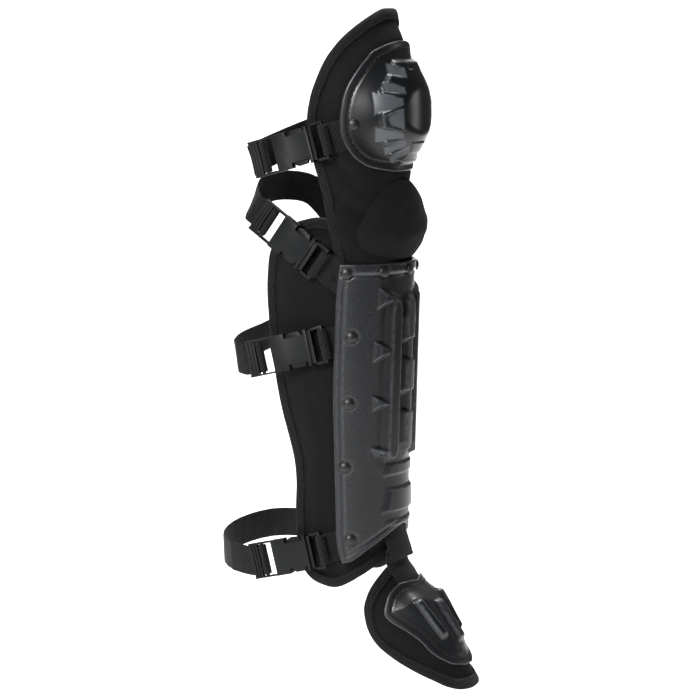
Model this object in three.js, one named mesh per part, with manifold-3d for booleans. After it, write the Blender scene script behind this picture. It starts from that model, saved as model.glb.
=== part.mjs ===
// Riot leg guard: padded knee and shin sections with moulded shells, a padded foot guard that
// hangs below them, and four webbing straps that close behind the leg with side-release buckles.
// Millimetres, +Z up. The front of the leg faces -Y and the buckles are on the -X side.
// The origin is on the leg's axis at the middle of the shin.
import * as THREE from "three";
import { mergeVertices } from "three/addons/utils/BufferGeometryUtils.js";
import Module from "manifold-3d";

const wasm = await Module();
wasm.setup();
const { degToRad, lerp, clamp, smoothstep } = THREE.MathUtils;

// Clearances
const pieceGap = 0.35; // between pieces that touch
const shellGap = 0.7; // between a moulded shell and the padding under it
const capSeat = 1.9; // the same at the knee cap, where the padding also curves back

// Leg surface: the outer face of the padding
const ankleRadius = 50.1;
const kneeRadius = 55.4;
const ankleHeight = -115; // below this the radius stays the same
const frontWrap = degToRad(78); // the front arc ends here and a flatter wing begins
const wingRadius = 260;
const kneeLean = 12; // how far the top of the knee section sets back

// Padding and its edge binding
const shinPadThickness = 10;
const kneePadThickness = 9;
const tongueThickness = 4.5; // the thin lower end of the knee pad, under the shin shell
const footPadThickness = 8;
const pinchedEdge = 3; // thickness of a pad where it is sewn into its binding
const bindingWidth = 9;
const bindingTape = 1;
const crownWidth = 12; // from the binding to the full thickness

// Shin section
const shellTop = 90;
const shellLength = 290; // at the bottom corners
const shellNotch = 34; // the front of the bottom edge is higher than the corners
const shellHalfWidth = 76.2;
const shellWall = 3;
const ribHeight = 6;
const bandHeight = 2.5;
const shinPadTop = 132;
const shinPadLength = 358;
const shinPadHalfWidth = 153;
const shinPadNotch = 32;
const shinPadDip = 10;

// Knee section
const kneePadTuck = 18; // how far the knee pad reaches under the shin shell
const kneePadRise = 237; // above the top of the shin shell
const kneePadHalfWidth = 103.8;
const capWall = 2.8;
const capRise = 14; // of the dome, above the flange
const capFlange = 9;
const capBottom = 86; // above the top of the shin shell
const capHeight = 122;
const capHalfWidth = 69.3;
const rollBottom = 3; // above the top of the shin shell
const rollHeight = 75;
const rollHalfWidth = 56.6;
const rollBulge = 13;

// Foot guard: an arched pad and shell that slope forward off the instep
const footTilt = degToRad(37);
const footRadius = 46;
const footForward = 60; // its reference point, in front of the leg's axis
const footHang = 12; // and below the shin shell's bottom corners
const footDrop = shellLength - shellTop + footHang; // which is below the origin
const footPadAbove = 12; // of the pad above that point, along the slope
const footPadLength = 139;
const footPadHalfWidth = 77.5;
const footShellStart = 7; // top edge of the shell, below that point along the slope
const footShellLength = 100;
const footShellHalfWidth = 50.9;
const footShellDip = 5.6;
const footShellWall = 2.5;
const footShellRise = 6;
const footRibRise = 4;

// Webbing and rivets
const webbingWidth = 29;
const webbingThickness = 1.6;
const tabTuck = 12;
const hangerWidth = 44;
const hangerThickness = 2.2;
const hangerTuck = 16;
const rivetHead = 4.7; // radius
const rivetDome = 2.6;
const rivetShank = 1.9; // radius

// Side-release buckles, measured from the tab end
const buckleLength = 79.5;
const buckleWidth = 36;
const buckleThickness = 8;
const buckleClear = 2.8; // underside above the padding at the tab end
const frameRail = 2.2;
const tabBar = 3.3;
const plugShoulder = [12.5, 16.2]; // along the buckle
const socketMouth = 16.7;
const socketBody = 54;
const ridgedBar = 70; // the ridged end bar runs from here to the buckle's end
const ladderSlot = 2.7; // between the plain bar and the ridged one
const ladderWidth = 2.8; // of the plain bar, along the buckle
const ladderBar = [ridgedBar - ladderSlot - ladderWidth, ridgedBar - ladderSlot];
const barThickness = 2.8;
const barLow = 2.6; // underside of the plain bar
const railLow = 1.8; // underside of the rails and of the ridged bar
const ridgedTop = 5;
const ridgeTop = 6.2;
const frameStart = 0.7; // of the plug's end frame, along the buckle
const frameStep = 1.4; // the end frame is this much thinner on each face
const prongWall = 2.6;
const socketWall = 1.8;

// Colours, roughness and metalness of the finishes
const FINISH = {
  fabric: { color: 0x141414, roughness: 0.95, metalness: 0 },
  binding: { color: 0x101010, roughness: 0.9, metalness: 0 },
  shell: { color: 0x1b1c1e, roughness: 0.42, metalness: 0 },
  webbing: { color: 0x0e0e0e, roughness: 0.85, metalness: 0 },
  buckle: { color: 0x16181a, roughness: 0.5, metalness: 0 },
  rivet: { color: 0x1e1f21, roughness: 0.3, metalness: 0.4 },
};

const guard = new THREE.Group();

// Value of one column of a table at a place in its first column, by straight lines between rows.
function lookUp(table, at, column = 1) {
  const last = table.length - 1;
  if (at <= table[0][0]) return table[0][column];
  if (at >= table[last][0]) return table[last][column];
  const after = table.findIndex((row) => row[0] >= at);
  const [a, b] = [table[after - 1], table[after]];
  return lerp(a[column], b[column], (at - a[0]) / (b[0] - a[0]));
}

// Set back of the leg's axis, as shares of kneePadRise above the shell and of kneeLean.
const LEAN = [
  // up, back
  [0, 0],
  [0.37, 0.29],
  [0.63, 0.34],
  [0.95, 0.76],
  [1.06, 1],
];

function legRadius(z) {
  return lerp(ankleRadius, kneeRadius, clamp((z - ankleHeight) / (shellTop - ankleHeight), 0, 1));
}

// A point on the leg: s is measured round the padding from the front centre (positive towards
// +X), z is the height and h the distance out from the padding's outer face.
function onLeg(s, z, h) {
  const radius = legRadius(z);
  const back = kneeLean * lookUp(LEAN, (z - shellTop) / kneePadRise);
  const side = Math.sign(s);
  const arc = Math.abs(s) / radius;
  if (arc <= frontWrap) {
    const r = radius + h;
    return new THREE.Vector3(side * r * Math.sin(arc), back - r * Math.cos(arc), z);
  }
  const turn = frontWrap + (Math.abs(s) - radius * frontWrap) / wingRadius;
  const offset = radius - wingRadius;
  const r = wingRadius + h;
  const x = offset * Math.sin(frontWrap) + r * Math.sin(turn);
  return new THREE.Vector3(side * x, back - offset * Math.cos(frontWrap) - r * Math.cos(turn), z);
}

// A point on the foot guard: s round its arch, z up its slope and h out from its padding.
function onFoot(s, z, h) {
  const out = new THREE.Vector3(0, -Math.cos(footTilt), Math.sin(footTilt));
  const up = new THREE.Vector3(0, Math.sin(footTilt), Math.cos(footTilt));
  const angle = s / footRadius;
  const r = footRadius + h;
  return new THREE.Vector3(0, -footForward, -footDrop)
    .addScaledVector(out, r * Math.cos(angle) - footRadius)
    .addScaledVector(up, z)
    .add(new THREE.Vector3(r * Math.sin(angle), 0, 0));
}

// A solid from points and triangles, with doubled points joined and empty triangles dropped.
function solidOf(points, faces) {
  const flat = new THREE.BufferGeometry().setFromPoints(points);
  flat.setIndex(faces.flat());
  return solidFrom(flat);
}

function solidFrom(geometry) {
  const bare = geometry.clone();
  for (const extra of ["normal", "uv"]) bare.deleteAttribute(extra);
  const merged = mergeVertices(bare, 1e-3);
  const index = merged.index.array;
  const kept = [];
  for (let i = 0; i < index.length; i += 3) {
    const [a, b, c] = [index[i], index[i + 1], index[i + 2]];
    if (a !== b && b !== c && c !== a) kept.push(a, b, c);
  }
  const vertProperties = new Float32Array(merged.attributes.position.array);
  const build = (triVerts) =>
    new wasm.Manifold(
      new wasm.Mesh({ numProp: 3, vertProperties, triVerts: new Uint32Array(triVerts) }),
    );
  const solid = build(kept);
  return solid.volume() > 0 ? solid : build(kept.reverse());
}

// The largest body of a solid: a pocket cut close to an edge can leave crumbs beside it.
function mainBody(solid) {
  return solid.decompose().reduce((a, b) => (b.volume() > a.volume() ? b : a));
}

// Names a solid as one piece of the guard.
function addPiece(name, solid, finish) {
  const mesh = mainBody(solid).getMesh();
  const geometry = new THREE.BufferGeometry();
  const position = new THREE.BufferAttribute(new Float32Array(mesh.vertProperties), 3);
  geometry.setAttribute("position", position);
  geometry.setIndex(new THREE.BufferAttribute(new Uint32Array(mesh.triVerts), 1));
  const flat = geometry.toNonIndexed();
  flat.computeVertexNormals();
  const piece = new THREE.Mesh(flat, new THREE.MeshStandardMaterial(FINISH[finish]));
  piece.name = name;
  guard.add(piece);
}

// A closed slab between an outer and an inner sheet of points with the same rows and columns.
function slab(outer, inner) {
  const rows = outer.length;
  const columns = outer[0].length;
  const points = [...outer.flat(), ...inner.flat()];
  const faces = [];
  const quad = (a, b, c, d) => faces.push([a, b, c], [a, c, d]);
  const at = (row, column) => row * columns + column;
  const inside = rows * columns;
  for (let row = 0; row < rows - 1; row++) {
    for (let column = 0; column < columns - 1; column++) {
      const corners = [
        at(row, column),
        at(row, column + 1),
        at(row + 1, column + 1),
        at(row + 1, column),
      ];
      quad(...corners);
      quad(...corners.map((corner) => corner + inside).reverse());
    }
  }
  const rim = rimOf(rows, columns).map(([row, column]) => at(row, column));
  rim.forEach((a, i) => {
    const b = rim[(i + 1) % rim.length];
    quad(b, a, a + inside, b + inside);
  });
  return solidOf(points, faces);
}

// Row and column of each point on the rim of a sheet, once round.
function rimOf(rows, columns) {
  const rim = [];
  for (let column = 0; column < columns - 1; column++) rim.push([0, column]);
  for (let row = 0; row < rows - 1; row++) rim.push([row, columns - 1]);
  for (let column = columns - 1; column > 0; column--) rim.push([rows - 1, column]);
  for (let row = rows - 1; row > 0; row--) rim.push([row, 0]);
  return rim;
}

// Places across a span: border lines at set insets from both ends, then shares of what is left.
function spread(from, to, insets, shares) {
  const deepest = insets[insets.length - 1];
  const fit = Math.min(1, (0.35 * (to - from)) / Math.max(deepest, pieceGap));
  const low = insets.map((inset) => from + inset * fit);
  const high = insets.map((inset) => to - inset * fit).reverse();
  const between = shares.map((share) => lerp(from + deepest * fit, to - deepest * fit, share));
  return [...low, ...between, ...high];
}

// Sheet of points {s, z, inset} inside an outline. sides gives the half width at each share of
// the height; low and high give the bottom and top edge at each share of the half width.
function sheet({ bottom, height, sides, halfWidth, low, high, ends, edges, up, around }) {
  const heights = spread(0, height, ends, up);
  const grid = heights.map((level) => {
    const share = level / height;
    const reach = halfWidth * lookUp(sides, share);
    return spread(-reach, reach, edges, around).map((s) => {
      const side = Math.abs(s) / reach;
      const floor = bottom + low(side) * (1 - share);
      const z = floor + level - high(side) * share;
      return { s, z };
    });
  });
  const rim = rimOf(grid.length, grid[0].length).map(([row, column]) => grid[row][column]);
  for (const point of grid.flat()) point.inset = insetOf(point, rim);
  return grid;
}

// Distance of a point of a sheet from the nearest side of its rim.
function insetOf(point, rim) {
  const distances = rim.map((a, i) => {
    const b = rim[(i + 1) % rim.length];
    const [ds, dz] = [b.s - a.s, b.z - a.z];
    const along = ((point.s - a.s) * ds + (point.z - a.z) * dz) / Math.max(ds * ds + dz * dz, 1e-9);
    const share = clamp(along, 0, 1);
    return Math.hypot(point.s - a.s - share * ds, point.z - a.z - share * dz);
  });
  return Math.min(...distances);
}

// The sheet's points placed in space at depth(point), its rim moved out by grow.
function placed(grid, place, depth, grow = 0) {
  const lastRow = grid.length - 1;
  return grid.map((row, i) =>
    row.map((point, j) => {
      const sideways = (j === row.length - 1 ? grow : 0) - (j === 0 ? grow : 0);
      const upwards = (i === lastRow ? grow : 0) - (i === 0 ? grow : 0);
      return place(point.s + sideways, point.z + upwards, depth(point));
    }),
  );
}

// How far a pad's outer face stands above its pinched edge at an inset, from 0 to 1.
function crown(inset) {
  return smoothstep(inset, bindingWidth + 2, bindingWidth + crownWidth);
}

// A pad: flat inner face, outer face crowned up from the pinched edge.
function padding({ grid, place, thickness }, grow = 0) {
  const outer = (point) => {
    const full = thickness(point.z);
    return (pinchedEdge - full) * (1 - crown(point.inset)) + grow;
  };
  const inner = (point) => -thickness(point.z) - grow;
  return slab(placed(grid, place, outer, grow), placed(grid, place, inner, grow));
}

const flatEdge = () => 0;
const PAD_EDGES = [0, bindingWidth + 1, bindingWidth + crownWidth];
const PAD_ENDS = [0, bindingWidth / 2, bindingWidth + 1, bindingWidth + crownWidth];

// Tape folded over a pad's rim: a channel that follows the rim, its lips over both faces.
// keep picks the rim points that are bound; a loop that keeps them all is closed.
function binding({ grid, place, thickness }, keep = () => true, grow = 0) {
  const rim = rimOf(grid.length, grid[0].length).map(([row, column]) => grid[row][column]);
  const count = rim.length;
  const inside = pinchedEdge / 2 + pieceGap - grow;
  const outside = pinchedEdge / 2 + pieceGap + bindingTape + grow;
  const stations = rim.map((point, i) => {
    const before = rim[(i + count - 1) % count];
    const after = rim[(i + 1) % count];
    const outward = new THREE.Vector2(after.z - before.z, before.s - after.s).normalize();
    const middle = pinchedEdge / 2 - thickness(point.z);
    const corner = (reach, rise) =>
      place(point.s + outward.x * reach, point.z + outward.y * reach, middle + rise);
    const back = pieceGap + bindingTape + grow;
    const lip = -bindingWidth - grow;
    const ring = [
      corner(back, outside),
      corner(back, -outside),
      corner(lip, -outside),
      corner(lip, -inside),
      corner(pieceGap - grow, -inside),
      corner(pieceGap - grow, inside),
      corner(lip, inside),
      corner(lip, outside),
    ];
    return { bound: keep(point), ring };
  });
  const start = stations.findIndex(({ bound }, i) => bound && !stations.at(i - 1).bound);
  if (start < 0) return loopOf(stations.map(({ ring }) => ring));
  const turned = [...stations.slice(start), ...stations.slice(0, start)];
  return tubeOf(turned.filter(({ bound }) => bound).map(({ ring }) => ring));
}

// Triangles that close the end of a flat band and of a channel.
const FLAT_CAP = {
  faces: [
    [0, 1, 2],
    [0, 2, 3],
  ],
};
const CHANNEL_CAP = {
  size: 8,
  faces: [
    [0, 5, 6],
    [0, 6, 7],
    [0, 1, 5],
    [1, 4, 5],
    [1, 2, 4],
    [2, 3, 4],
  ],
};

// A solid through a row of rings of points, capped at both ends.
function tubeOf(rings) {
  const size = rings[0].length;
  const faces = walls(rings.length - 1, size, (i) => i * size);
  const end = (rings.length - 1) * size;
  for (const [a, b, c] of size === CHANNEL_CAP.size ? CHANNEL_CAP.faces : FLAT_CAP.faces) {
    faces.push([a, b, c], [end + a, end + c, end + b]);
  }
  return solidOf(rings.flat(), faces);
}

// The same, with the last ring joined to the first.
function loopOf(rings) {
  const size = rings[0].length;
  const faces = walls(rings.length, size, (i) => (i % rings.length) * size);
  return solidOf(rings.flat(), faces);
}

function walls(spans, size, first) {
  const faces = [];
  for (let i = 0; i < spans; i++) {
    for (let j = 0; j < size; j++) {
      const k = (j + 1) % size;
      const [a, b] = [first(i) + j, first(i) + k];
      const [c, d] = [first(i + 1) + k, first(i + 1) + j];
      faces.push([a, c, b], [a, d, c]);
    }
  }
  return faces;
}

// Flat webbing along a line of stations. Each gives a point and either the direction of the
// webbing's width (across) or of its outer face (out).
function webbing(stations, width, thickness, grow = 0) {
  const last = stations.length - 1;
  const rings = stations.map(({ point, across, out }, i) => {
    const before = stations[Math.max(i - 1, 0)].point;
    const after = stations[Math.min(i + 1, last)].point;
    const along = after.clone().sub(before).normalize();
    const wide = (across ?? out.clone().cross(along)).clone();
    wide.addScaledVector(along, -wide.dot(along)).normalize();
    const face = along.clone().cross(wide);
    const centre = point.clone();
    if (i === 0) centre.addScaledVector(along, -grow);
    if (i === last) centre.addScaledVector(along, grow);
    const corner = (side, rise) =>
      centre
        .clone()
        .addScaledVector(wide, side * (width / 2 + grow))
        .addScaledVector(face, rise * (thickness / 2 + grow));
    return [corner(-1, -1), corner(1, -1), corner(1, 1), corner(-1, 1)];
  });
  return tubeOf(rings);
}

// A station of webbing that lies on the leg.
function onPadding(s, z, h) {
  const point = onLeg(s, z, h);
  return { point, out: onLeg(s, z, h + 1).sub(point) };
}

// Wide webbing down the middle of the leg, bowed across its width to follow what it lies on.
// Each row of the line gives a point in the middle plane and the bow at the webbing's edge.
function bowedWebbing(line, width, thickness, grow = 0) {
  const last = line.length - 1;
  const faces = [1, -1].map((side) =>
    line.map(([point, bow], i) => {
      const before = line[Math.max(i - 1, 0)][0];
      const after = line[Math.min(i + 1, last)][0];
      const along = after.clone().sub(before).normalize();
      const out = new THREE.Vector3(0, along.z, -along.y);
      const end = (i === last ? grow : 0) - (i === 0 ? grow : 0);
      return [-1, -0.6, 0, 0.6, 1].map((share) =>
        point
          .clone()
          .addScaledVector(along, end)
          .addScaledVector(out, side * (thickness / 2 + grow) - bow * share * share)
          .setX(share * (width / 2 + grow)),
      );
    }),
  );
  return slab(...faces);
}

// Position and outward direction on a surface, for a piece that stands on it.
function standOn(surface, s, z) {
  const step = 0.5;
  const origin = surface(s, z);
  const right = surface(s + step, z).sub(surface(s - step, z));
  const up = surface(s, z + step).sub(surface(s, z - step));
  return { origin, out: right.cross(up).normalize() };
}

// Knee pad, seen flat: half width at each share of its height.
const KNEE_SIDES = [
  [0, 0.64],
  [0.07, 0.735],
  [0.165, 0.78],
  [0.24, 0.815],
  [0.29, 0.841],
  [0.363, 0.885],
  [0.458, 0.952],
  [0.54, 0.993],
  [0.623, 1],
  [0.69, 0.959],
  [0.755, 0.886],
  [0.82, 0.795],
  [0.886, 0.646],
  [0.918, 0.544],
  [0.95, 0.42],
  [0.983, 0.253],
  [1, 0.135],
];
const kneePad = {
  place: onLeg,
  thickness: (z) => {
    const above = (z - shellTop) / kneePadRise;
    return lerp(tongueThickness, kneePadThickness, smoothstep(above, 0.19, 0.28));
  },
  grid: sheet({
    bottom: shellTop - kneePadTuck,
    height: kneePadRise + kneePadTuck,
    sides: KNEE_SIDES,
    halfWidth: kneePadHalfWidth,
    low: flatEdge,
    high: flatEdge,
    ends: PAD_ENDS,
    edges: PAD_EDGES,
    up: [0.12, 0.25, 0.4, 0.55, 0.7, 0.85],
    around: [0.125, 0.25, 0.375, 0.5, 0.625, 0.75, 0.875],
  }),
};

// Shin pad: half width at each share of its height, then its bottom edge from the middle out.
const SHIN_SIDES = [
  [0, 0.523],
  [0.011, 0.62],
  [0.025, 0.67],
  [0.056, 0.72],
  [0.119, 0.75],
  [0.218, 0.761],
  [0.28, 0.756],
  [0.335, 0.768],
  [0.399, 0.81],
  [0.475, 0.87],
  [0.596, 0.938],
  [0.718, 0.983],
  [0.84, 1],
  [0.91, 0.974],
  [0.94, 0.928],
  [0.975, 0.83],
  [0.99, 0.745],
  [1, 0.64],
];
const SHIN_BOTTOM = [
  [0, 1],
  [0.17, 0.87],
  [0.41, 0.61],
  [0.59, 0.385],
  [0.77, 0.165],
  [0.92, 0.02],
  [1, 0],
];
const shinPad = {
  place: onLeg,
  thickness: () => shinPadThickness,
  grid: sheet({
    bottom: shinPadTop - shinPadLength,
    height: shinPadLength,
    sides: SHIN_SIDES,
    halfWidth: shinPadHalfWidth,
    low: (side) => shinPadNotch * lookUp(SHIN_BOTTOM, side),
    high: (side) => shinPadDip * (1 - side),
    ends: PAD_ENDS,
    edges: PAD_EDGES,
    up: [0.14, 0.285, 0.5, 0.72, 0.9],
    around: [0.1, 0.21, 0.285, 0.355, 0.427, 0.5, 0.573, 0.645, 0.715, 0.79, 0.9],
  }),
};

// Foot pad: half width at each share of its length, from the toe up.
const FOOT_SIDES = [
  [0, 0.1],
  [0.012, 0.2],
  [0.068, 0.39],
  [0.162, 0.54],
  [0.296, 0.72],
  [0.403, 0.84],
  [0.5, 0.93],
  [0.59, 0.993],
  [0.665, 1],
  [0.732, 0.974],
  [0.79, 0.921],
  [0.846, 0.858],
  [0.89, 0.76],
  [0.95, 0.55],
  [1, 0.26],
];
const footPad = {
  place: onFoot,
  thickness: () => footPadThickness,
  grid: sheet({
    bottom: footPadAbove - footPadLength,
    height: footPadLength,
    sides: FOOT_SIDES,
    halfWidth: footPadHalfWidth,
    low: flatEdge,
    high: flatEdge,
    ends: PAD_ENDS,
    edges: PAD_EDGES,
    up: [0.25, 0.5, 0.75],
    around: [0.17, 0.34, 0.5, 0.66, 0.83],
  }),
};

// Buckles: where each one's tab end is on the leg, and where its body points from there.
// round and height place the tab end, the lower three a set way beyond the shell's edge; flare turns it off straight back and pitch tips it up.
const BUCKLES = [
  { round: -80, height: 207.5, flare: 6, pitch: -16, tabRun: 24, lift: 0 },
  { round: -(shellHalfWidth + 13.8), height: 89.3, flare: 5, pitch: 36, tabRun: 32, lift: 0.8 },
  { round: -(shellHalfWidth + 6.8), height: 14.5, flare: 14, pitch: -13.5, tabRun: 16, lift: 0 },
  { round: -(shellHalfWidth + 4.8), height: -186.1, flare: 4, pitch: -14.5, tabRun: 24, lift: 0 },
];

// The frame of a buckle: along runs from its tab end to its ladder end, out faces away from
// the leg and across is its width.
function buckleFrame({ round, height, flare, pitch }) {
  const [turn, tip] = [degToRad(flare), degToRad(pitch)];
  const along = new THREE.Vector3(
    -Math.sin(turn) * Math.cos(tip),
    Math.cos(turn) * Math.cos(tip),
    Math.sin(tip),
  );
  const out = new THREE.Vector3(-1, 0, 0);
  out.addScaledVector(along, -out.dot(along)).normalize();
  const across = out.clone().cross(along);
  const origin = onLeg(round, height, buckleClear);
  const matrix = new THREE.Matrix4().makeBasis(along, across, out).setPosition(origin);
  const point = (a, b) => origin.clone().addScaledVector(along, a).addScaledVector(out, b);
  return { along, across, out, matrix, point };
}

// A block between two corners [along, across, up], chamfered nowhere.
function block([x0, y0, z0], [x1, y1, z1]) {
  const box = new THREE.BoxGeometry(x1 - x0, y1 - y0, z1 - z0);
  box.translate((x0 + x1) / 2, (y0 + y1) / 2, (z0 + z1) / 2);
  return solidFrom(box);
}

// A flat plate from an outline of [along, across] points, between two heights.
function plate(outline, z0, z1) {
  const shape = new THREE.Shape(outline.map(([x, y]) => new THREE.Vector2(x, y)));
  const flat = new THREE.ExtrudeGeometry(shape, { depth: z1 - z0, bevelEnabled: false });
  return solidFrom(flat.translate(0, 0, z0));
}

const mirrored = (outline) => outline.map(([x, y]) => [x, -y]).reverse();
const halfBuckle = buckleWidth / 2;
const slotHalf = halfBuckle - frameRail - pieceGap;
const cavityHalf = halfBuckle - prongWall - socketWall;
const prongLow = (buckleThickness - 4) / 2;
const windowEnd = socketBody - 15;

// Plug: an end frame for the tab, a shoulder, a guide and two springy prongs with side grips.
function bucklePlug() {
  const [shoulderStart, shoulderEnd] = plugShoulder;
  const frameTop = buckleThickness - frameStep;
  const barEnd = frameStart + tabBar;
  const frame = block([frameStart, -halfBuckle, frameStep], [shoulderEnd, halfBuckle, frameTop]);
  const opening = block([barEnd, -slotHalf, 0], [shoulderStart, slotHalf, buckleThickness]);
  const waistSide = [
    [shoulderStart - 1, halfBuckle + 1],
    [shoulderStart, halfBuckle - 2],
    [shoulderEnd + 1, halfBuckle - 2],
    [shoulderEnd + 1, halfBuckle + 1],
  ];
  const prongSide = [
    [shoulderEnd - 1, cavityHalf - 4.4],
    [windowEnd - 4, cavityHalf - prongWall - 1.6],
    [windowEnd - 1, cavityHalf - prongWall - 1],
    [windowEnd - 1.4, halfBuckle - 3],
    [windowEnd - 6, halfBuckle - 0.8],
    [windowEnd - 15, halfBuckle - 1.2],
    [windowEnd - 17, cavityHalf - 0.8],
    [shoulderEnd - 1, cavityHalf - 1.2],
  ];
  const prongTop = buckleThickness - prongLow;
  let plug = frame.subtract(opening);
  for (const outline of [waistSide, mirrored(waistSide)]) {
    plug = plug.subtract(plate(outline, 0, buckleThickness));
  }
  for (const outline of [prongSide, mirrored(prongSide)]) {
    plug = plug.add(plate(outline, prongLow, prongTop));
  }
  const guide = block([shoulderEnd - 1, -2.2, prongLow], [windowEnd - 8, 2.2, prongTop]);
  return plug.add(guide);
}

// Socket: a hollow body open at the mouth, a window in each side for the grips, and a ladder
// end with an open slot, a plain bar and a ridged bar.
function buckleSocket() {
  const bodyTop = buckleThickness;
  const body = block([socketMouth, -halfBuckle + 0.5, 0], [socketBody, halfBuckle - 0.5, bodyTop]);
  const hollow = block(
    [socketMouth - 1, -cavityHalf, prongLow - 0.5],
    [windowEnd + 3, cavityHalf, bodyTop - prongLow + 0.5],
  );
  const windowSide = [
    [socketMouth + 3.2, halfBuckle + 1],
    [socketMouth + 3.2, cavityHalf - 1],
    [windowEnd, cavityHalf - 1],
    [windowEnd, halfBuckle + 1],
  ];
  let socket = body.subtract(hollow);
  for (const outline of [windowSide, mirrored(windowSide)]) {
    socket = socket.subtract(plate(outline, -1, bodyTop + 1));
  }
  const railInside = halfBuckle - frameRail;
  for (const side of [-1, 1]) {
    const edges = [side * railInside, side * (halfBuckle - 0.5)].sort((a, b) => a - b);
    socket = socket.add(
      block([socketBody - 1, edges[0], railLow], [buckleLength, edges[1], bodyTop - 2]),
    );
  }
  const inner = railInside + 0.5;
  const barTop = barLow + barThickness;
  socket = socket.add(block([ladderBar[0], -inner, barLow], [ladderBar[1], inner, barTop]));
  socket = socket.add(block([ridgedBar, -inner, railLow], [buckleLength, inner, ridgedTop]));
  const ridges = 3;
  const pitch = (buckleLength - ridgedBar) / ridges;
  for (let i = 0; i < ridges; i++) {
    const start = ridgedBar + i * pitch;
    const ridge = [
      [start, -inner, ridgedTop - 0.2],
      [start + pitch * 0.6, inner, ridgeTop],
    ];
    socket = socket.add(block(...ridge));
  }
  return socket;
}

// Tab: webbing folded round the plug's bar, its under layer tucked in under a shell's edge.
function tabLine(buckle, frame) {
  const { round, height, pitch, tabRun } = buckle;
  const tip = degToRad(pitch);
  const half = webbingThickness / 2;
  const ahead = (run, h) =>
    onPadding(round + run * Math.cos(tip), height - run * Math.sin(tip), h);
  const underBar = frameStep - pieceGap - half;
  const overBar = buckleThickness - frameStep + pieceGap + half;
  const barInner = frameStart + tabBar + pieceGap + half;
  const sunk = -half - pieceGap - buckle.lift;
  const fold = [
    [1, underBar],
    [barInner - 0.8, underBar],
    [barInner, underBar + 1.2],
    [barInner, overBar - 1.2],
    [barInner - 0.8, overBar],
    [0.2, overBar],
    [-1.4, overBar - 1.8],
    [-1.6, underBar + 3.2],
  ].map(([a, b]) => ({ point: frame.point(a, b), across: frame.across }));
  return [
    ahead(tabRun, sunk),
    ahead(tabRun - tabTuck / 2, sunk),
    ahead(tabRun - tabTuck, sunk),
    ahead(0.5, half + pieceGap + buckle.lift),
    ...fold,
  ];
}

// Strap routes, from the ladder round the back to the far side. A free row gives x as a share
// of the knee's radius, y as a share of the strap's reach, and the rise from the ladder's height
// to the far end's. A held row lies on the far side: round the leg, and up from the shell's top.
// Its last two rows are let into the padding.
const strapTuckRows = 2;
const STRAPS = [
  {
    reach: 76,
    exit: [3, 0.8],
    lift: 0,
    free: [
      // across, back, rise
      [-1.06, 0.99, 0.06],
      [-0.5, 0.83, 0.38],
      [0.1, 0.64, 0.68],
      [0.72, 0.49, 0.92],
    ],
    held: [
      // round, up
      [108, 130],
      [99, 129.5],
      [86, 129],
      [74, 128],
      [63, 126],
      [52, 124],
    ],
  },
  {
    reach: 84,
    exit: [9, 0],
    lift: 1.1,
    free: [
      [-0.96, 0.97, -0.25],
      [-0.45, 1.01, -0.62],
      [0.2, 0.98, -0.7],
      [0.78, 0.82, -0.36],
    ],
    held: [
      [134, 30],
      [118, 21],
      [104, 13],
      [92, 4],
      [83, -4],
      [75, -11],
      [61, -22],
    ],
  },
  {
    reach: 98,
    exit: [4, 1.1],
    lift: 0,
    free: [
      [-1.28, 0.92, 0.1],
      [-0.85, 1.01, 0.35],
      [0.1, 1.03, 0.6],
      [0.85, 1.03, 0.9],
    ],
    held: [
      [152, -76],
      [130, -76],
      [105, -76],
      [84, -76],
      [75, -76],
      [62, -76],
    ],
  },
  {
    reach: 136,
    exit: [3, 0.8],
    lift: 0,
    free: [
      [-0.98, 0.79, 0.1],
      [-0.5, 0.97, 0.25],
      [0.2, 1, 0.55],
      [0.84, 0.85, 0.85],
    ],
    held: [
      [120, -281],
      [108, -280],
      [92, -279],
      [77, -278],
      [65, -277],
      [54, -276],
    ],
  },
];

function strapLine(buckle, strap, frame) {
  const half = webbingThickness / 2;
  const ladderGap = pieceGap + half;
  const [barStart, barEnd] = ladderBar;
  const under = barLow - 1.05 - ladderGap;
  const tail = under - webbingThickness - pieceGap;
  const over = barLow + barThickness + ladderGap;
  const weave = [
    [buckleLength - 1, tail],
    [barStart + 1, tail],
    [barStart - ladderGap, tail + 1.6],
    [barStart - ladderGap, over - 1],
    [barStart - 0.4, over],
    [barEnd + 0.4, over],
    [barEnd + ladderGap, over - 1],
    [barEnd + ladderGap, under + 0.9],
    [ridgedBar + 0.6, under],
    [buckleLength, under],
  ].map(([a, b]) => ({ point: frame.point(a, b), across: frame.across }));
  const [run, drop] = strap.exit;
  const exit = frame.point(buckleLength + run, under - drop);
  const farEnd = shellTop + strap.held[0][1];
  const free = strap.free.map(
    ([x, y, share]) =>
      new THREE.Vector3(x * kneeRadius, y * strap.reach, lerp(exit.z, farEnd, share)),
  );
  const resting = strap.held.map(([round, up], i) => {
    const under = i >= strap.held.length - strapTuckRows;
    const depth = half + pieceGap + strap.lift + 0.2;
    return onPadding(round, shellTop + up, under ? -depth : depth);
  });
  const landing = resting.slice(0, 2).map(({ point }) => point);
  const curve = new THREE.CatmullRomCurve3([exit, ...free, ...landing]);
  const steps = 18;
  const turn = (i) => new THREE.Vector3(0, 0, -1).lerp(frame.across, Math.max(0, 1 - i / 5));
  const loop = curve.getSpacedPoints(steps).map((point, i) => ({ point, across: turn(i) }));
  return [...weave, ...loop, ...resting.slice(2)];
}

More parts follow.
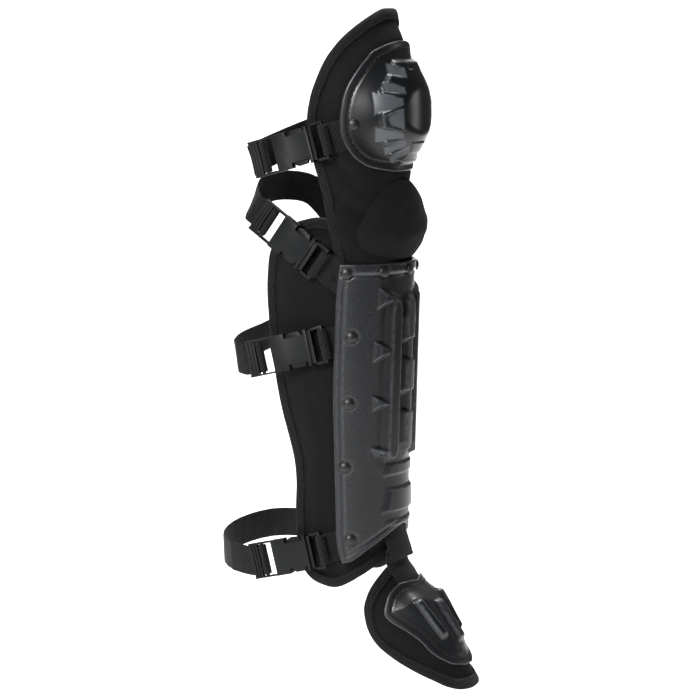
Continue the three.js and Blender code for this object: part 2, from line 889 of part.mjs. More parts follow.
const plugSolid = bucklePlug();
const socketSolid = buckleSocket();
const tabs = [];
const straps = [];
BUCKLES.forEach((buckle, i) => {
  const frame = buckleFrame(buckle);
  addPiece(`buckle_plug_${i + 1}`, plugSolid.transform(frame.matrix.elements), "buckle");
  addPiece(`buckle_socket_${i + 1}`, socketSolid.transform(frame.matrix.elements), "buckle");
  tabs.push(tabLine(buckle, frame));
  straps.push(strapLine(buckle, STRAPS[i], frame));
  addPiece(`tab_${i + 1}`, webbing(tabs[i], webbingWidth, webbingThickness), "webbing");
  addPiece(`strap_${i + 1}`, webbing(straps[i], webbingWidth, webbingThickness), "webbing");
});

// Hanger: wide webbing from under the shell's front, folded back on itself at its lower end.
const hangerLayer = hangerThickness + pieceGap;
const hangerTop = shellTop - shellLength + shellNotch + hangerTuck;
const strapFront = footForward - 10; // the upright foot strap stands here, before the leg's axis
const hangerFold = [
  // forward of the foot strap in layers, down from the fold's start
  [1.2, 0],
  [2, 5],
  [2.1, 10],
  [1.65, 12.4],
  [1.15, 10],
  [1.1, 6],
];
const foldTop = -footDrop + 23;
const hangerSunk = -hangerThickness / 2 - pieceGap - 0.2;
const bowOn = (radius, width) => radius * (1 - Math.cos(width / 2 / radius));
const hangerBow = bowOn(ankleRadius, hangerWidth);
const hangerLine = [
  [onLeg(0, hangerTop, hangerSunk), hangerBow],
  [onLeg(0, hangerTop - hangerTuck, hangerSunk), hangerBow],
  [onLeg(0, hangerTop - hangerTuck - 6, hangerSunk), hangerBow],
  ...hangerFold.map(([layers, down]) => [
    new THREE.Vector3(0, -strapFront - layers * hangerLayer, foldTop - down),
    hangerBow * 0.7,
  ]),
];

// Foot strap: from under the foot shell's top edge, up behind the hanger's fold.
const foldedWidth = hangerWidth - 2;
const footBow = bowOn(footRadius, foldedWidth);
const footStrapLine = [
  [new THREE.Vector3(0, -strapFront + 0.4, -footDrop + 22), hangerBow * 0.7],
  [new THREE.Vector3(0, -strapFront, -footDrop + 15), hangerBow * 0.7],
  [onFoot(0, footPadAbove - 1, -2), footBow],
  [onFoot(0, 0, -0.8), footBow],
  [onFoot(0, -footShellStart - footShellDip, hangerSunk - 0.2), footBow],
  [onFoot(0, -footShellStart - footShellDip - 14, hangerSunk - 0.2), footBow],
];
const hangerRoom = bowedWebbing(hangerLine, hangerWidth, hangerThickness, pieceGap);
const footStrapRoom = bowedWebbing(footStrapLine, foldedWidth, hangerThickness, pieceGap);
addPiece("foot_hanger", bowedWebbing(hangerLine, hangerWidth, hangerThickness), "webbing");
addPiece("foot_strap", bowedWebbing(footStrapLine, foldedWidth, hangerThickness), "webbing");

// Pads, with pockets where webbing or another pad is let into them.
const bindingGap = 0.1; // least room left between a pad and the lips of its binding
const aboveShell = (point) => point.z > shellTop + pieceGap + 1;
const beforeShell = (point) => point.z > shellTop - kneePadTuck * 0.6;
const grownWebbing = (line) => webbing(line, webbingWidth, webbingThickness, pieceGap);
const cut = (solid, tools) => tools.reduce((left, tool) => left.subtract(tool), solid);

const everyStrap = [...tabs, ...straps].map(grownWebbing);
const kneeRim = binding(kneePad, aboveShell, bindingGap);
addPiece("knee_pad", cut(padding(kneePad), [kneeRim, ...everyStrap]), "fabric");
addPiece("knee_binding", cut(binding(kneePad, aboveShell), everyStrap), "binding");

const kneeRoom = padding(kneePad, 2 * pieceGap);
const kneeBindingRoom = binding(kneePad, beforeShell, 2.5 * pieceGap);
const shinRim = binding(shinPad, undefined, bindingGap);
const shinTools = [shinRim, kneeRoom, kneeBindingRoom, hangerRoom, ...everyStrap];
addPiece("shin_pad", cut(padding(shinPad), shinTools), "fabric");
addPiece("shin_binding", cut(binding(shinPad), [kneeRoom, kneeBindingRoom]), "binding");

const footRim = binding(footPad, undefined, bindingGap);
addPiece("foot_pad", cut(padding(footPad), [footRim, footStrapRoom]), "fabric");
addPiece("foot_binding", cut(binding(footPad), [footStrapRoom]), "binding");

// Shin shell: columns from the middle out, as shares of its half width, and how far each
// stands up in the ribs and in the band across the ankle.
const SHELL_COLUMNS = [
  // share, rib, band
  [0, 1, 1],
  [0.03, 1, 1],
  [0.125, 0, 1],
  [0.165, 0, 1],
  [0.21, 1, 1],
  [0.28, 1, 1],
  [0.41, 0, 0],
  [0.56, 0, 0],
  [0.71, 0, 0],
  [0.86, 0, 0],
  [1, 0, 0],
];
// Its rows from the top down: share of its length, half width, ribs, band, and how far the row
// follows the curved bottom edge.
const SHELL_ROWS = [
  // down, wide, rib, band, follow
  [0, 0.953, 0, 0, 0],
  [0.075, 0.985, 0, 0, 0],
  [0.131, 0.992, 1, 0, 0],
  [0.28, 1, 1, 0, 0],
  [0.45, 0.996, 1, 0, 0],
  [0.625, 0.963, 1, 0, 0],
  [0.666, 0.957, 0, 0.15, 0],
  [0.74, 0.944, 0, 0.2, 0],
  [0.759, 0.942, 0, 1, 0],
  [0.822, 0.937, 0, 1, 0],
  [0.845, 0.935, 0, 0, 0],
  [0.86, 0.932, 0, 0, 0.5],
  [0.87, 0.925, 0, 0, 0.8],
  [0.88, 0.86, 0, 0, 1],
];
const SHELL_BOTTOM = [
  // share of the half width, share of shellNotch
  [0, 1],
  [0.2, 0.9],
  [0.35, 0.75],
  [0.52, 0.55],
  [0.7, 0.32],
  [0.85, 0.1],
  [1, 0],
];
const shellGrid = SHELL_ROWS.map(([down, wide, rib, band, follow]) => {
  const columns = [...SHELL_COLUMNS.slice(1).reverse(), ...SHELL_COLUMNS];
  const middle = SHELL_COLUMNS.length - 1;
  return columns.map(([share, ribs, bands], j) => {
    const level = shellTop - shellLength * down;
    const edge = shellTop - shellLength + shellNotch * lookUp(SHELL_BOTTOM, share);
    return {
      s: (j < middle ? -1 : 1) * share * wide * shellHalfWidth,
      z: lerp(level, edge, follow),
      relief: ribHeight * rib * ribs + bandHeight * band * bands,
    };
  });
});
const shellFace = shellGap + shellWall;
const shinShell = slab(
  placed(shellGrid, onLeg, ({ relief }) => shellFace + relief),
  placed(shellGrid, onLeg, ({ relief }) => shellGap + relief),
);

// Knee cap: a moulded dome in a flat flange, outlined by its half width at each share of height.
const CAP_SIDES = [
  [0, 0.26],
  [0.037, 0.584],
  [0.085, 0.745],
  [0.176, 0.889],
  [0.27, 0.974],
  [0.365, 1],
  [0.49, 0.986],
  [0.636, 0.915],
  [0.758, 0.788],
  [0.862, 0.639],
  [0.948, 0.452],
  [0.992, 0.182],
  [1, 0.09],
];
const capGrid = sheet({
  bottom: shellTop + capBottom,
  height: capHeight,
  sides: CAP_SIDES,
  halfWidth: capHalfWidth,
  low: flatEdge,
  high: flatEdge,
  ends: [0, capFlange * 0.25, capFlange],
  edges: [0, capFlange],
  up: [0.13, 0.27, 0.42, 0.58, 0.73, 0.87],
  around: [0.11, 0.24, 0.37, 0.5, 0.63, 0.76, 0.89],
});
const capMiddle = shellTop + capBottom + 0.455 * capHeight;
function capDome({ s, z }) {
  const half = z > capMiddle ? 0.545 * capHeight : 0.455 * capHeight;
  const out = Math.hypot(s / capHalfWidth, (z - capMiddle) / half);
  return capRise * (1 - smoothstep(out, 0.28, 0.92));
}
const capFace = capSeat + capWall;
const kneeCap = slab(
  placed(capGrid, onLeg, (point) => capFace + capDome(point)),
  placed(capGrid, onLeg, (point) => capSeat + capDome(point)),
);

// Rivets: a low domed head on a short shank that passes through the shell.
const rivetLength = shellWall * 0.85;
function rivetShape(shank, head) {
  const profile = [
    [0, -rivetLength],
    [shank, -rivetLength],
    [shank, 0],
    [head, 0],
    [head * 0.85, rivetDome * 0.62],
    [0, rivetDome],
  ].map(([x, y]) => new THREE.Vector2(x, y));
  return new THREE.LatheGeometry(profile, 8).rotateX(Math.PI / 2);
}
const rivetSolid = solidFrom(rivetShape(rivetShank, rivetHead));
const holeSolid = solidFrom(
  new THREE.CylinderGeometry(
    rivetShank + pieceGap,
    rivetShank + pieceGap,
    4 * shellWall,
    6,
  ).rotateX(Math.PI / 2),
);

// Places on a shell's face, [round, up from the shell's top], mirrored unless on the middle.
const SHIN_RIVETS = [
  [0, -7.3],
  [32.5, -7.2],
  [66.4, -8.1],
  [60.3, -69],
  [61.1, -133.2],
  [63, -195.2],
  [57.5, -266],
];
const CAP_RIVETS = [[57.5, 131.5]];

function rivetsOn(prefix, rows, face, shell) {
  const both = rows.flatMap(([s, up]) => (s === 0 ? [[s, up]] : [[-s, up], [s, up]]));
  let drilled = shell;
  both.forEach(([s, up], i) => {
    const { origin, out } = standOn(face, s, shellTop + up);
    const turn = new THREE.Quaternion().setFromUnitVectors(new THREE.Vector3(0, 0, 1), out);
    const seat = origin.clone().addScaledVector(out, pieceGap + 0.1);
    const matrix = new THREE.Matrix4().compose(seat, turn, new THREE.Vector3(1, 1, 1));
    addPiece(`${prefix}_${i + 1}`, rivetSolid.transform(matrix.elements), "rivet");
    drilled = drilled.subtract(holeSolid.transform(matrix.elements));
  });
  return drilled;
}

const shinFace = (s, z) => onLeg(s, z, shellFace);
const capSurface = (s, z) => onLeg(s, z, capFace + capDome({ s, z }));
addPiece("shin_shell", rivetsOn("shin_rivet", SHIN_RIVETS, shinFace, shinShell), "shell");
addPiece("knee_cap", rivetsOn("cap_rivet", CAP_RIVETS, capSurface, kneeCap), "shell");

// Knee roll: a plump fabric roll on the knee pad, between the cap and the shin shell.
const ROLL_SIDES = [
  [0, 0.39],
  [0.06, 0.625],
  [0.13, 0.857],
  [0.26, 0.973],
  [0.37, 1],
  [0.54, 0.876],
  [0.78, 0.662],
  [0.876, 0.528],
  [0.98, 0.244],
  [1, 0.1],
];
const rollGrid = sheet({
  bottom: shellTop + rollBottom,
  height: rollHeight,
  sides: ROLL_SIDES,
  halfWidth: rollHalfWidth,
  low: flatEdge,
  high: flatEdge,
  ends: [0, 5],
  edges: [0, 5],
  up: [0.16, 0.36, 0.57, 0.78],
  around: [0.12, 0.3, 0.5, 0.7, 0.88],
});
const rollHem = 1.6;
const rollPlump = (inset) => Math.sqrt(clamp(inset / (rollHalfWidth * 0.42), 0, 1));
const kneeRoll = slab(
  placed(rollGrid, onLeg, ({ inset }) => capSeat + rollHem + rollBulge * rollPlump(inset)),
  placed(rollGrid, onLeg, () => capSeat),
);
addPiece("knee_roll", kneeRoll, "fabric");

// Foot shell: half width at each share of its length from the toe up, with three raised ribs.
const FOOT_SHELL_SIDES = [
  [0, 0.12],
  [0.06, 0.363],
  [0.152, 0.523],
  [0.264, 0.639],
  [0.415, 0.705],
  [0.589, 0.843],
  [0.739, 0.982],
  [0.81, 1],
  [0.904, 0.86],
  [0.97, 0.66],
  [1, 0.44],
];
const FOOT_SHELL_COLUMNS = [
  // from the middle, most share of the half width, middle rib, side ribs
  [0, 0, 1, 0],
  [3, 0.12, 1, 0],
  [6, 0.24, 0, 0],
  [15, 0.45, 0, 0],
  [18, 0.55, 0, 1],
  [21.5, 0.65, 0, 1],
  [25, 0.74, 0, 0],
];
const FOOT_SHELL_ROWS = [
  // share of the length, middle rib, side ribs
  [0, 0, 0],
  [0.07, 0, 0],
  [0.2, 0, 0],
  [0.25, 1, 0],
  [0.33, 1, 0],
  [0.39, 1, 1],
  [0.65, 1, 1],
  [0.7, 0, 1],
  [0.76, 0, 0],
  [0.92, 0, 0],
  [1, 0, 0],
];
const footFlange = 8;
const footShellBottom = -footShellStart - footShellLength;
const footShellGrid = FOOT_SHELL_ROWS.map(([share, middleRib, sideRib]) => {
  const reach = footShellHalfWidth * lookUp(FOOT_SHELL_SIDES, share);
  const half = FOOT_SHELL_COLUMNS.map(([from, most, inMiddle, inSides]) => ({
    s: Math.min(from, most * reach),
    rib: middleRib * inMiddle + sideRib * inSides,
  }));
  half.push({ s: Math.max(reach - footFlange, 0.82 * reach), rib: 0 }, { s: reach, rib: 0 });
  const row = [...half.slice(1).reverse().map(({ s, rib }) => ({ s: -s, rib })), ...half];
  return row.map(({ s, rib }) => {
    const level = footShellBottom + footShellLength * share;
    const z = level - footShellDip * (1 - Math.abs(s) / reach) * smoothstep(share, 0.8, 1);
    return { s, z, rib };
  });
});
const footShellRim = rimOf(footShellGrid.length, footShellGrid[0].length);
const footOutline = footShellRim.map(([row, column]) => footShellGrid[row][column]);
for (const point of footShellGrid.flat()) {
  const inset = insetOf(point, footOutline);
  point.rise = footShellRise * smoothstep(inset, footFlange - 1, 2.6 * footFlange);
  point.rise += footRibRise * point.rib;
}
const footShell = slab(
  placed(footShellGrid, onFoot, ({ rise }) => shellGap + footShellWall + rise),
  placed(footShellGrid, onFoot, ({ rise }) => shellGap + rise),
);
addPiece("foot_shell", footShell, "shell");

export default guard;
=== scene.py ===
import math

import bmesh
import bpy
import numpy as np
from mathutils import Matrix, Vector


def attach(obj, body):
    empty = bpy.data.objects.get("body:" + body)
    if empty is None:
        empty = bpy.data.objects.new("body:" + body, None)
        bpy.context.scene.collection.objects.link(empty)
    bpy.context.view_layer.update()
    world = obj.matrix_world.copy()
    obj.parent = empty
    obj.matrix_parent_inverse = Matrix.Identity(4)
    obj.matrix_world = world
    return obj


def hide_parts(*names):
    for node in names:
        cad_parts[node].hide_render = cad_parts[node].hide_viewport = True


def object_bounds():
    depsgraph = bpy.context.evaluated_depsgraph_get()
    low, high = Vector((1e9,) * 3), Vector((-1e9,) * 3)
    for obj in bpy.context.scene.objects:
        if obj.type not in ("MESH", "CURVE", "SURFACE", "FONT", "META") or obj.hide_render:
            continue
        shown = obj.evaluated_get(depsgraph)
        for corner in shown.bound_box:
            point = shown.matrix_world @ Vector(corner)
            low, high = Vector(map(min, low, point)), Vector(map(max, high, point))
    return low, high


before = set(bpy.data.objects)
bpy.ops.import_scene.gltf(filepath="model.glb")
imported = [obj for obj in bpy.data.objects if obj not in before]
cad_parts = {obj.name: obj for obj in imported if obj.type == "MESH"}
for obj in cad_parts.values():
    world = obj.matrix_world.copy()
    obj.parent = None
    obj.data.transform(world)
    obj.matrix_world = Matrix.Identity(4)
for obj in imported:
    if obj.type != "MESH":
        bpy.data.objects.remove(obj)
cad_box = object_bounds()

# The studio: a pale floor that curves up into a wall behind the guard, large soft lights on
# both sides and above, and the camera. None of it is part of the guard.
azimuth, elevation, distance = math.radians(-62), math.radians(9), 2.2
level = math.cos(elevation)
back = Vector((math.sin(azimuth) * level, -math.cos(azimuth) * level, math.sin(elevation)))
right = Vector((math.cos(azimuth), math.sin(azimuth), 0))
away = Vector((-math.sin(azimuth), math.cos(azimuth), 0))
aim = right * -0.00388

camera_data = bpy.data.cameras.new("camera")
camera_data.lens = 116.6
camera_data.sensor_width = 36
camera = bpy.data.objects.new("camera", camera_data)
camera.rotation_mode = "QUATERNION"
camera.location = aim + back * distance
camera.rotation_quaternion = back.to_track_quat("Z", "Y")
bpy.context.scene.collection.objects.link(camera)
bpy.context.scene.camera = camera


def soft_light(name, sideways, forwards, height, size, watts, aimed=0.0):
    """A square light at a place given from the camera's side, turned to the guard's middle or
    to a place behind it."""
    data = bpy.data.lights.new(name, "AREA")
    data.shape = "SQUARE"
    data.size = size
    data.energy = watts
    light = bpy.data.objects.new(name, data)
    light.location = right * sideways + away * forwards + Vector((0, 0, height))
    light.rotation_mode = "QUATERNION"
    light.rotation_quaternion = (light.location - away * aimed).to_track_quat("Z", "Y")
    bpy.context.scene.collection.objects.link(light)


for row in (
    # name, sideways, forwards, height, size, watts, aimed
    ("light_key", -1.1, -1.7, 0.95, 0.85, 60),
    ("light_right", 1.9, 0.4, 0.3, 0.5, 2),
    ("light_top", -0.5, 0.1, 2.3, 0.8, 34),
    ("light_floor", 0.3, 1.3, 3.2, 2.0, 170, 1.9),
    ("light_wall_left", -2.6, 2.6, 1.6, 1.4, 120, 6),
    ("light_wall_right", 2.6, 2.6, 1.6, 1.4, 120, 6),
):
    soft_light(*row)

bpy.context.scene.view_settings.view_transform = "Standard"
world = bpy.data.worlds.new("studio_air")
bpy.context.scene.world = world
world.use_nodes = True
# The camera sees a pale room, but the room itself gives little light.
air = world.node_tree
air.nodes["Background"].inputs["Color"].default_value = (1, 1, 1, 1)
seen = air.nodes.new("ShaderNodeLightPath").outputs["Is Camera Ray"]
glow = air.nodes.new("ShaderNodeMath")
glow.operation = "MULTIPLY_ADD"
glow.inputs[1].default_value = 0.85
glow.inputs[2].default_value = 0.1
air.links.new(seen, glow.inputs[0])
air.links.new(glow.outputs[0], air.nodes["Background"].inputs["Strength"])


def backdrop():
    """Floor and wall as one sheet, 0.1 m below the guard: level out to 3.5 m, a quarter circle
    of 2 m radius, then upright. The second parameter runs sideways."""
    flat = np.linspace(-1.3, 3.5, 12)
    bend = np.linspace(0, math.pi / 2, 12)[1:]
    rise = np.linspace(0, 6, 6)[1:]
    forwards = np.concatenate([flat, 3.5 + 2 * np.sin(bend), np.full(5, 5.5)])
    height = np.concatenate([np.zeros(12), 2 - 2 * np.cos(bend), 2 + rise])
    sideways = np.linspace(-1.5, 1.5, 7)
    floor = cad_box[0].z - 0.1
    ways = np.array([right, away, (0, 0, 1)], float)
    points = (
        sideways[None, :, None] * ways[0]
        + forwards[:, None, None] * ways[1]
        + (height[:, None, None] + floor) * ways[2]
    )
    return points


def surface_quads(rows, columns):
    """Corner indices of every cell of a grid, row by row."""
    index = np.arange(rows * columns).reshape(rows, columns)
    cells = [index[:-1, :-1], index[:-1, 1:], index[1:, 1:], index[1:, :-1]]
    return np.stack(cells, -1).reshape(-1, 4)


drop = backdrop()
floor_mesh = bpy.data.meshes.new("studio_floor")
floor_mesh.from_pydata(drop.reshape(-1, 3).tolist(), [], surface_quads(*drop.shape[:2]).tolist())
floor_mesh.shade_smooth()
floor_paint = bpy.data.materials.new("studio_floor")
floor_paint.use_nodes = True
floor_shader = floor_paint.node_tree.nodes["Principled BSDF"]
floor_shader.inputs["Base Color"].default_value = (0.9, 0.9, 0.9, 1)
floor_shader.inputs["Roughness"].default_value = 0.8
floor_mesh.materials.append(floor_paint)
studio_floor = bpy.data.objects.new("studio_floor", floor_mesh)
bpy.context.scene.collection.objects.link(studio_floor)

# Padding: three foam pads covered in matt black woven cloth. Their edges are pinched flat and
# sewn into a binding, and the pads are pressed in where the shells' webbing passes.


def add(tree, kind, values=(), **settings):
    """Adds a node. values fills its inputs, in order or by name, with sockets or plain values."""
    made = tree.nodes.new(kind)
    for key, value in settings.items():
        setattr(made, key, value)
    for key, value in values.items() if isinstance(values, dict) else enumerate(values):
        if isinstance(value, bpy.types.NodeSocket):
            tree.links.new(value, made.inputs[key])
        else:
            made.inputs[key].default_value = value
    return made


def calc(tree, operation, *values):
    """The output of one Math node."""
    return add(tree, "ShaderNodeMath", values, operation=operation).outputs[0]


def shared_effect(name, inputs, outputs):
    """An empty node group with its sockets, and its input and output nodes."""
    tree = bpy.data.node_groups.new(name, "ShaderNodeTree")
    for label, kind, value in inputs:
        socket = tree.interface.new_socket(label, in_out="INPUT", socket_type=kind)
        if value is not None:
            socket.default_value = value
    for label in outputs:
        tree.interface.new_socket(label, in_out="OUTPUT", socket_type="NodeSocketFloat")
    return tree, tree.nodes.new("NodeGroupInput"), tree.nodes.new("NodeGroupOutput")


def woven_threads():
    """Crossing threads: the height is half of 1 plus sin(across) times sin(along), where both
    run in half threads and across is sheared by Slant times along. Shade is slow noise."""
    vector, number = "NodeSocketVector", "NodeSocketFloat"
    tree, given, result = shared_effect(
        "woven_threads",
        [
            ("Vector", vector, None),
            ("Across", number, 1200.0),
            ("Along", number, 1200.0),
            ("Slant", number, 0.0),
        ],
        ["Height", "Shade"],
    )
    place = add(tree, "ShaderNodeSeparateXYZ", [given.outputs["Vector"]])
    lean = calc(tree, "MULTIPLY", place.outputs["Y"], given.outputs["Slant"])
    sheared = calc(tree, "ADD", place.outputs["X"], lean)
    waves = []
    for part, count in ((sheared, "Across"), (place.outputs["Y"], "Along")):
        turned = calc(tree, "MULTIPLY", part, given.outputs[count])
        waves.append(calc(tree, "SINE", calc(tree, "MULTIPLY", turned, math.pi)))
    product = calc(tree, "MULTIPLY", *waves)
    height = calc(tree, "MULTIPLY_ADD", product, 0.5, 0.5)
    slow = {"Vector": given.outputs["Vector"], "Scale": 60.0, "Detail": 4.0}
    cloud = add(tree, "ShaderNodeTexNoise", slow).outputs[0]
    tree.links.new(height, result.inputs["Height"])
    tree.links.new(cloud, result.inputs["Shade"])
    return tree


THREADS = woven_threads()


def blended(tree, share, first, second):
    """A colour between two, by a share from 0 to 1."""
    mix = add(tree, "ShaderNodeMix", data_type="RGBA")
    tree.links.new(share, mix.inputs["Factor"])
    mix.inputs["A"].default_value = (*first, 1)
    mix.inputs["B"].default_value = (*second, 1)
    for socket in mix.outputs:
        if socket.type == "RGBA":
            return socket


def cloth_finish(name, dark, light, across, along, slant, depth, roughness, sheen):
    """Woven cloth on the piece's own map, in metres: thread colour, bump and a little sheen."""
    material = bpy.data.materials.new(name)
    material.use_nodes = True
    tree = material.node_tree
    shader = tree.nodes["Principled BSDF"]
    place = add(tree, "ShaderNodeUVMap", uv_map="UVMap").outputs[0]
    weave = add(tree, "ShaderNodeGroup", node_tree=THREADS)
    tree.links.new(place, weave.inputs["Vector"])
    for label, value in (("Across", across), ("Along", along), ("Slant", slant)):
        weave.inputs[label].default_value = value
    worn = calc(tree, "MULTIPLY_ADD", weave.outputs["Shade"], 1.1, -0.3)
    share = calc(tree, "MULTIPLY", weave.outputs["Height"], worn)
    tree.links.new(blended(tree, share, dark, light), shader.inputs["Base Color"])
    rough = calc(tree, "MULTIPLY_ADD", weave.outputs["Shade"], 0.16, roughness - 0.08)
    tree.links.new(rough, shader.inputs["Roughness"])
    shader.inputs["Sheen Weight"].default_value = sheen
    shader.inputs["Sheen Roughness"].default_value = 0.5
    shader.inputs["Specular IOR Level"].default_value = 0.2
    bump = add(tree, "ShaderNodeBump", {"Strength": 0.8, "Distance": depth})
    tree.links.new(weave.outputs["Height"], bump.inputs["Height"])
    tree.links.new(bump.outputs[0], shader.inputs["Normal"])
    return material


# The leg that the guard is shaped to. Each piece is laid out flat in millimetres, s round the
# leg and z up it, and then wrapped round the leg or the foot.
LEAN_UP = (0, 0.37, 0.63, 0.95, 1.06)
LEAN_BACK = (0, 0.29, 0.34, 0.76, 1)
SHELL_TOP = 90
KNEE_RISE = 237
ANKLE_RADIUS, KNEE_RADIUS, INSTEP_RADIUS = 50.1, 55.4, 46


def on_leg(s, z, h):
    """Points h out from the padding, at s round it from the front and z up. The front is an arc
    of 78 degrees each way whose radius grows from ankle to knee; the wings behind it bend on a
    radius of 260. Above the shell the whole section sets back by up to 12."""
    s, z, h = np.broadcast_arrays(*(np.asarray(value, float) for value in (s, z, h)))
    radius = np.interp(z, (-115, SHELL_TOP), (ANKLE_RADIUS, KNEE_RADIUS))
    set_back = 12 * np.interp((z - SHELL_TOP) / KNEE_RISE, LEAN_UP, LEAN_BACK)
    wrap, wing = math.radians(78), 260
    arc = np.abs(s) / radius
    turn = wrap + (np.abs(s) - radius * wrap) / wing
    front = arc <= wrap
    x = np.where(
        front,
        (radius + h) * np.sin(arc),
        (radius - wing) * math.sin(wrap) + (wing + h) * np.sin(turn),
    )
    forward = np.where(
        front,
        (radius + h) * np.cos(arc),
        (radius - wing) * math.cos(wrap) + (wing + h) * np.cos(turn),
    )
    return np.stack([np.sign(s) * x, set_back - forward, z], -1)


def on_foot(s, z, h):
    """Points h out from the foot pad, at s round its arch of radius 46 and z up its slope,
    which leans 37 degrees forward from a point 60 in front of the leg and 212 down."""
    s, z, h = np.broadcast_arrays(*(np.asarray(value, float) for value in (s, z, h)))
    tilt, radius = math.radians(37), INSTEP_RADIUS
    out = np.array([0, -math.cos(tilt), math.sin(tilt)])
    up = np.array([0, math.sin(tilt), math.cos(tilt)])
    reach = ((radius + h) * np.cos(s / radius) - radius)[..., None] * out
    side = ((radius + h) * np.sin(s / radius))[..., None] * np.array([1.0, 0, 0])
    return np.array([0, -60, -212]) + reach + z[..., None] * up + side


def smooth_step(value, low, high):
    """0 below low, 1 above high and an S curve between."""
    share = np.clip((value - low) / (high - low), 0, 1)
    return share * share * (3 - 2 * share)


def eased(at, table, column=1):
    """A table's column at places in its first column, along smooth cubic curves."""
    xs, ys = (np.array([row[i] for row in table], float) for i in (0, column))
    slopes = np.gradient(ys, xs)
    at = np.clip(at, xs[0], xs[-1])
    i = np.clip(np.searchsorted(xs, at) - 1, 0, len(xs) - 2)
    span = xs[i + 1] - xs[i]
    t = (at - xs[i]) / span
    start, end = ys[i], ys[i + 1]
    bend_in, bend_out = slopes[i] * span, slopes[i + 1] * span
    return (
        (2 * t**3 - 3 * t**2 + 1) * start
        + (t**3 - 2 * t**2 + t) * bend_in
        + (3 * t**2 - 2 * t**3) * end
        + (t**3 - t**2) * bend_out
    )


def spaced(low, high, insets, count):
    """Places from low to high: set insets from both ends, then count even ones between."""
    low, high = (np.atleast_1d(np.asarray(value, float))[:, None] for value in (low, high))
    insets = np.asarray(insets, float)
    steps = insets * np.minimum(1, 0.35 * (high - low) / insets[-1])
    first, last = low + steps[:, -1:], high - steps[:, -1:]
    even = np.linspace(0, 1, count + 2)[1:-1]
    return np.hstack([low + steps, first + (last - first) * even, high - steps[:, ::-1]])


def rim_order(rows, columns):
    """Indices of a grid's rim points, once round."""
    index = np.arange(rows * columns).reshape(rows, columns)
    return np.concatenate([index[0, :-1], index[:-1, -1], index[-1, :0:-1], index[:0:-1, 0]])


def inset_of(s, z):
    """Distance of each grid point from the nearest side of the grid's rim."""
    rim = np.stack([s.ravel(), z.ravel()], -1)[rim_order(*s.shape)][::2]
    side = np.roll(rim, -1, 0) - rim
    square = np.maximum((side**2).sum(-1), 1e-9)

    def row_inset(points):
        """The least distance from each point of a row to the sides, by its foot on each."""
        offset = points[:, None, :] - rim
        along = np.clip((offset * side).sum(-1) / square, 0, 1)
        return np.linalg.norm(offset - along[..., None] * side, axis=-1).min(-1)

    return np.array([row_inset(row) for row in np.stack([s, z], -1)])


def outline_grid(bottom, height, sides, half_width, insets, rows, columns, low=None, high=None):
    """Flat grid (s, z, inset) inside an outline: half width eased along sides, with the bottom
    edge raised by low and the top edge lowered by high of the share of the half width."""
    levels = spaced(0, height, insets, rows)[0]
    reach = half_width * eased(levels / height, sides)
    s = spaced(-reach, reach, insets, columns)
    share = (levels / height)[:, None]
    side = np.abs(s) / reach[:, None]
    floor = low(side) * (1 - share) if low else 0
    ceiling = high(side) * share if high else 0
    z = bottom + levels[:, None] + floor - ceiling + 0 * s
    return s, z, inset_of(s, z)


def closed_piece(name, points, quads, uv, smooth=True, **marks):
    """A closed mesh of quads from points in mm, turned outwards, with its map in metres and
    named marks on its points."""
    a, b, c, d = (points[quads[:, k]] for k in range(4))
    volume = np.einsum("ij,ij->", a, np.cross(b, c)) + np.einsum("ij,ij->", a, np.cross(c, d))
    if volume < 0:
        quads, uv = quads[:, ::-1], uv[:, ::-1]
    mesh = bpy.data.meshes.new(name)
    mesh.from_pydata((points * 0.001).tolist(), [], quads.tolist())
    corners = mesh.uv_layers.new(name="UVMap")
    corners.data.foreach_set("uv", (uv * 0.001).astype(np.float32).ravel())
    for mark, values in marks.items():
        attribute = mesh.attributes.new(mark, "FLOAT", "POINT")
        attribute.data.foreach_set("value", np.asarray(values, np.float32).ravel())
    if smooth:
        mesh.shade_smooth()
    piece = bpy.data.objects.new(name, mesh)
    bpy.context.scene.collection.objects.link(piece)
    return piece


def slab_piece(name, place, s, z, outer, inner, **marks):
    """A sheet of material between two depths over the same flat grid, closed round its rim."""
    outer, inner = np.broadcast_to(outer, s.shape), np.broadcast_to(inner, s.shape)
    points = np.concatenate([place(s, z, outer).reshape(-1, 3), place(s, z, inner).reshape(-1, 3)])
    quads, count = surface_quads(*s.shape), s.size
    rim = rim_order(*s.shape)
    after = np.roll(rim, -1)
    edge = np.stack([after, rim, rim + count, after + count], -1)
    quads = np.concatenate([quads, quads[:, ::-1] + count, edge])
    flat = np.tile(np.stack([s.ravel(), z.ravel()], -1), (2, 1))
    marks = {mark: np.tile(np.ravel(values), 2) for mark, values in marks.items()}
    return closed_piece(name, points, quads, flat[quads], **marks)


def finished(piece, material, slot, *nodes):
    """Puts a piece on the guard: its material, and the solids that it stands for, which it hides.
    slot is not used.
    """
    piece.data.materials.append(material)
    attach(piece, "root")
    if nodes:
        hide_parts(*nodes)
    return piece


EDGE = (0, 2, 4.5, 7, 9.5, 12, 15, 18, 21, 25, 30)
PINCHED = 3
cloth = cloth_finish(
    "padding_cloth", dark=(0.002, 0.002, 0.0023), light=(0.0105, 0.0105, 0.0112),
    across=760, along=760, slant=0.35, depth=0.0004, roughness=0.92, sheen=0.03,
)

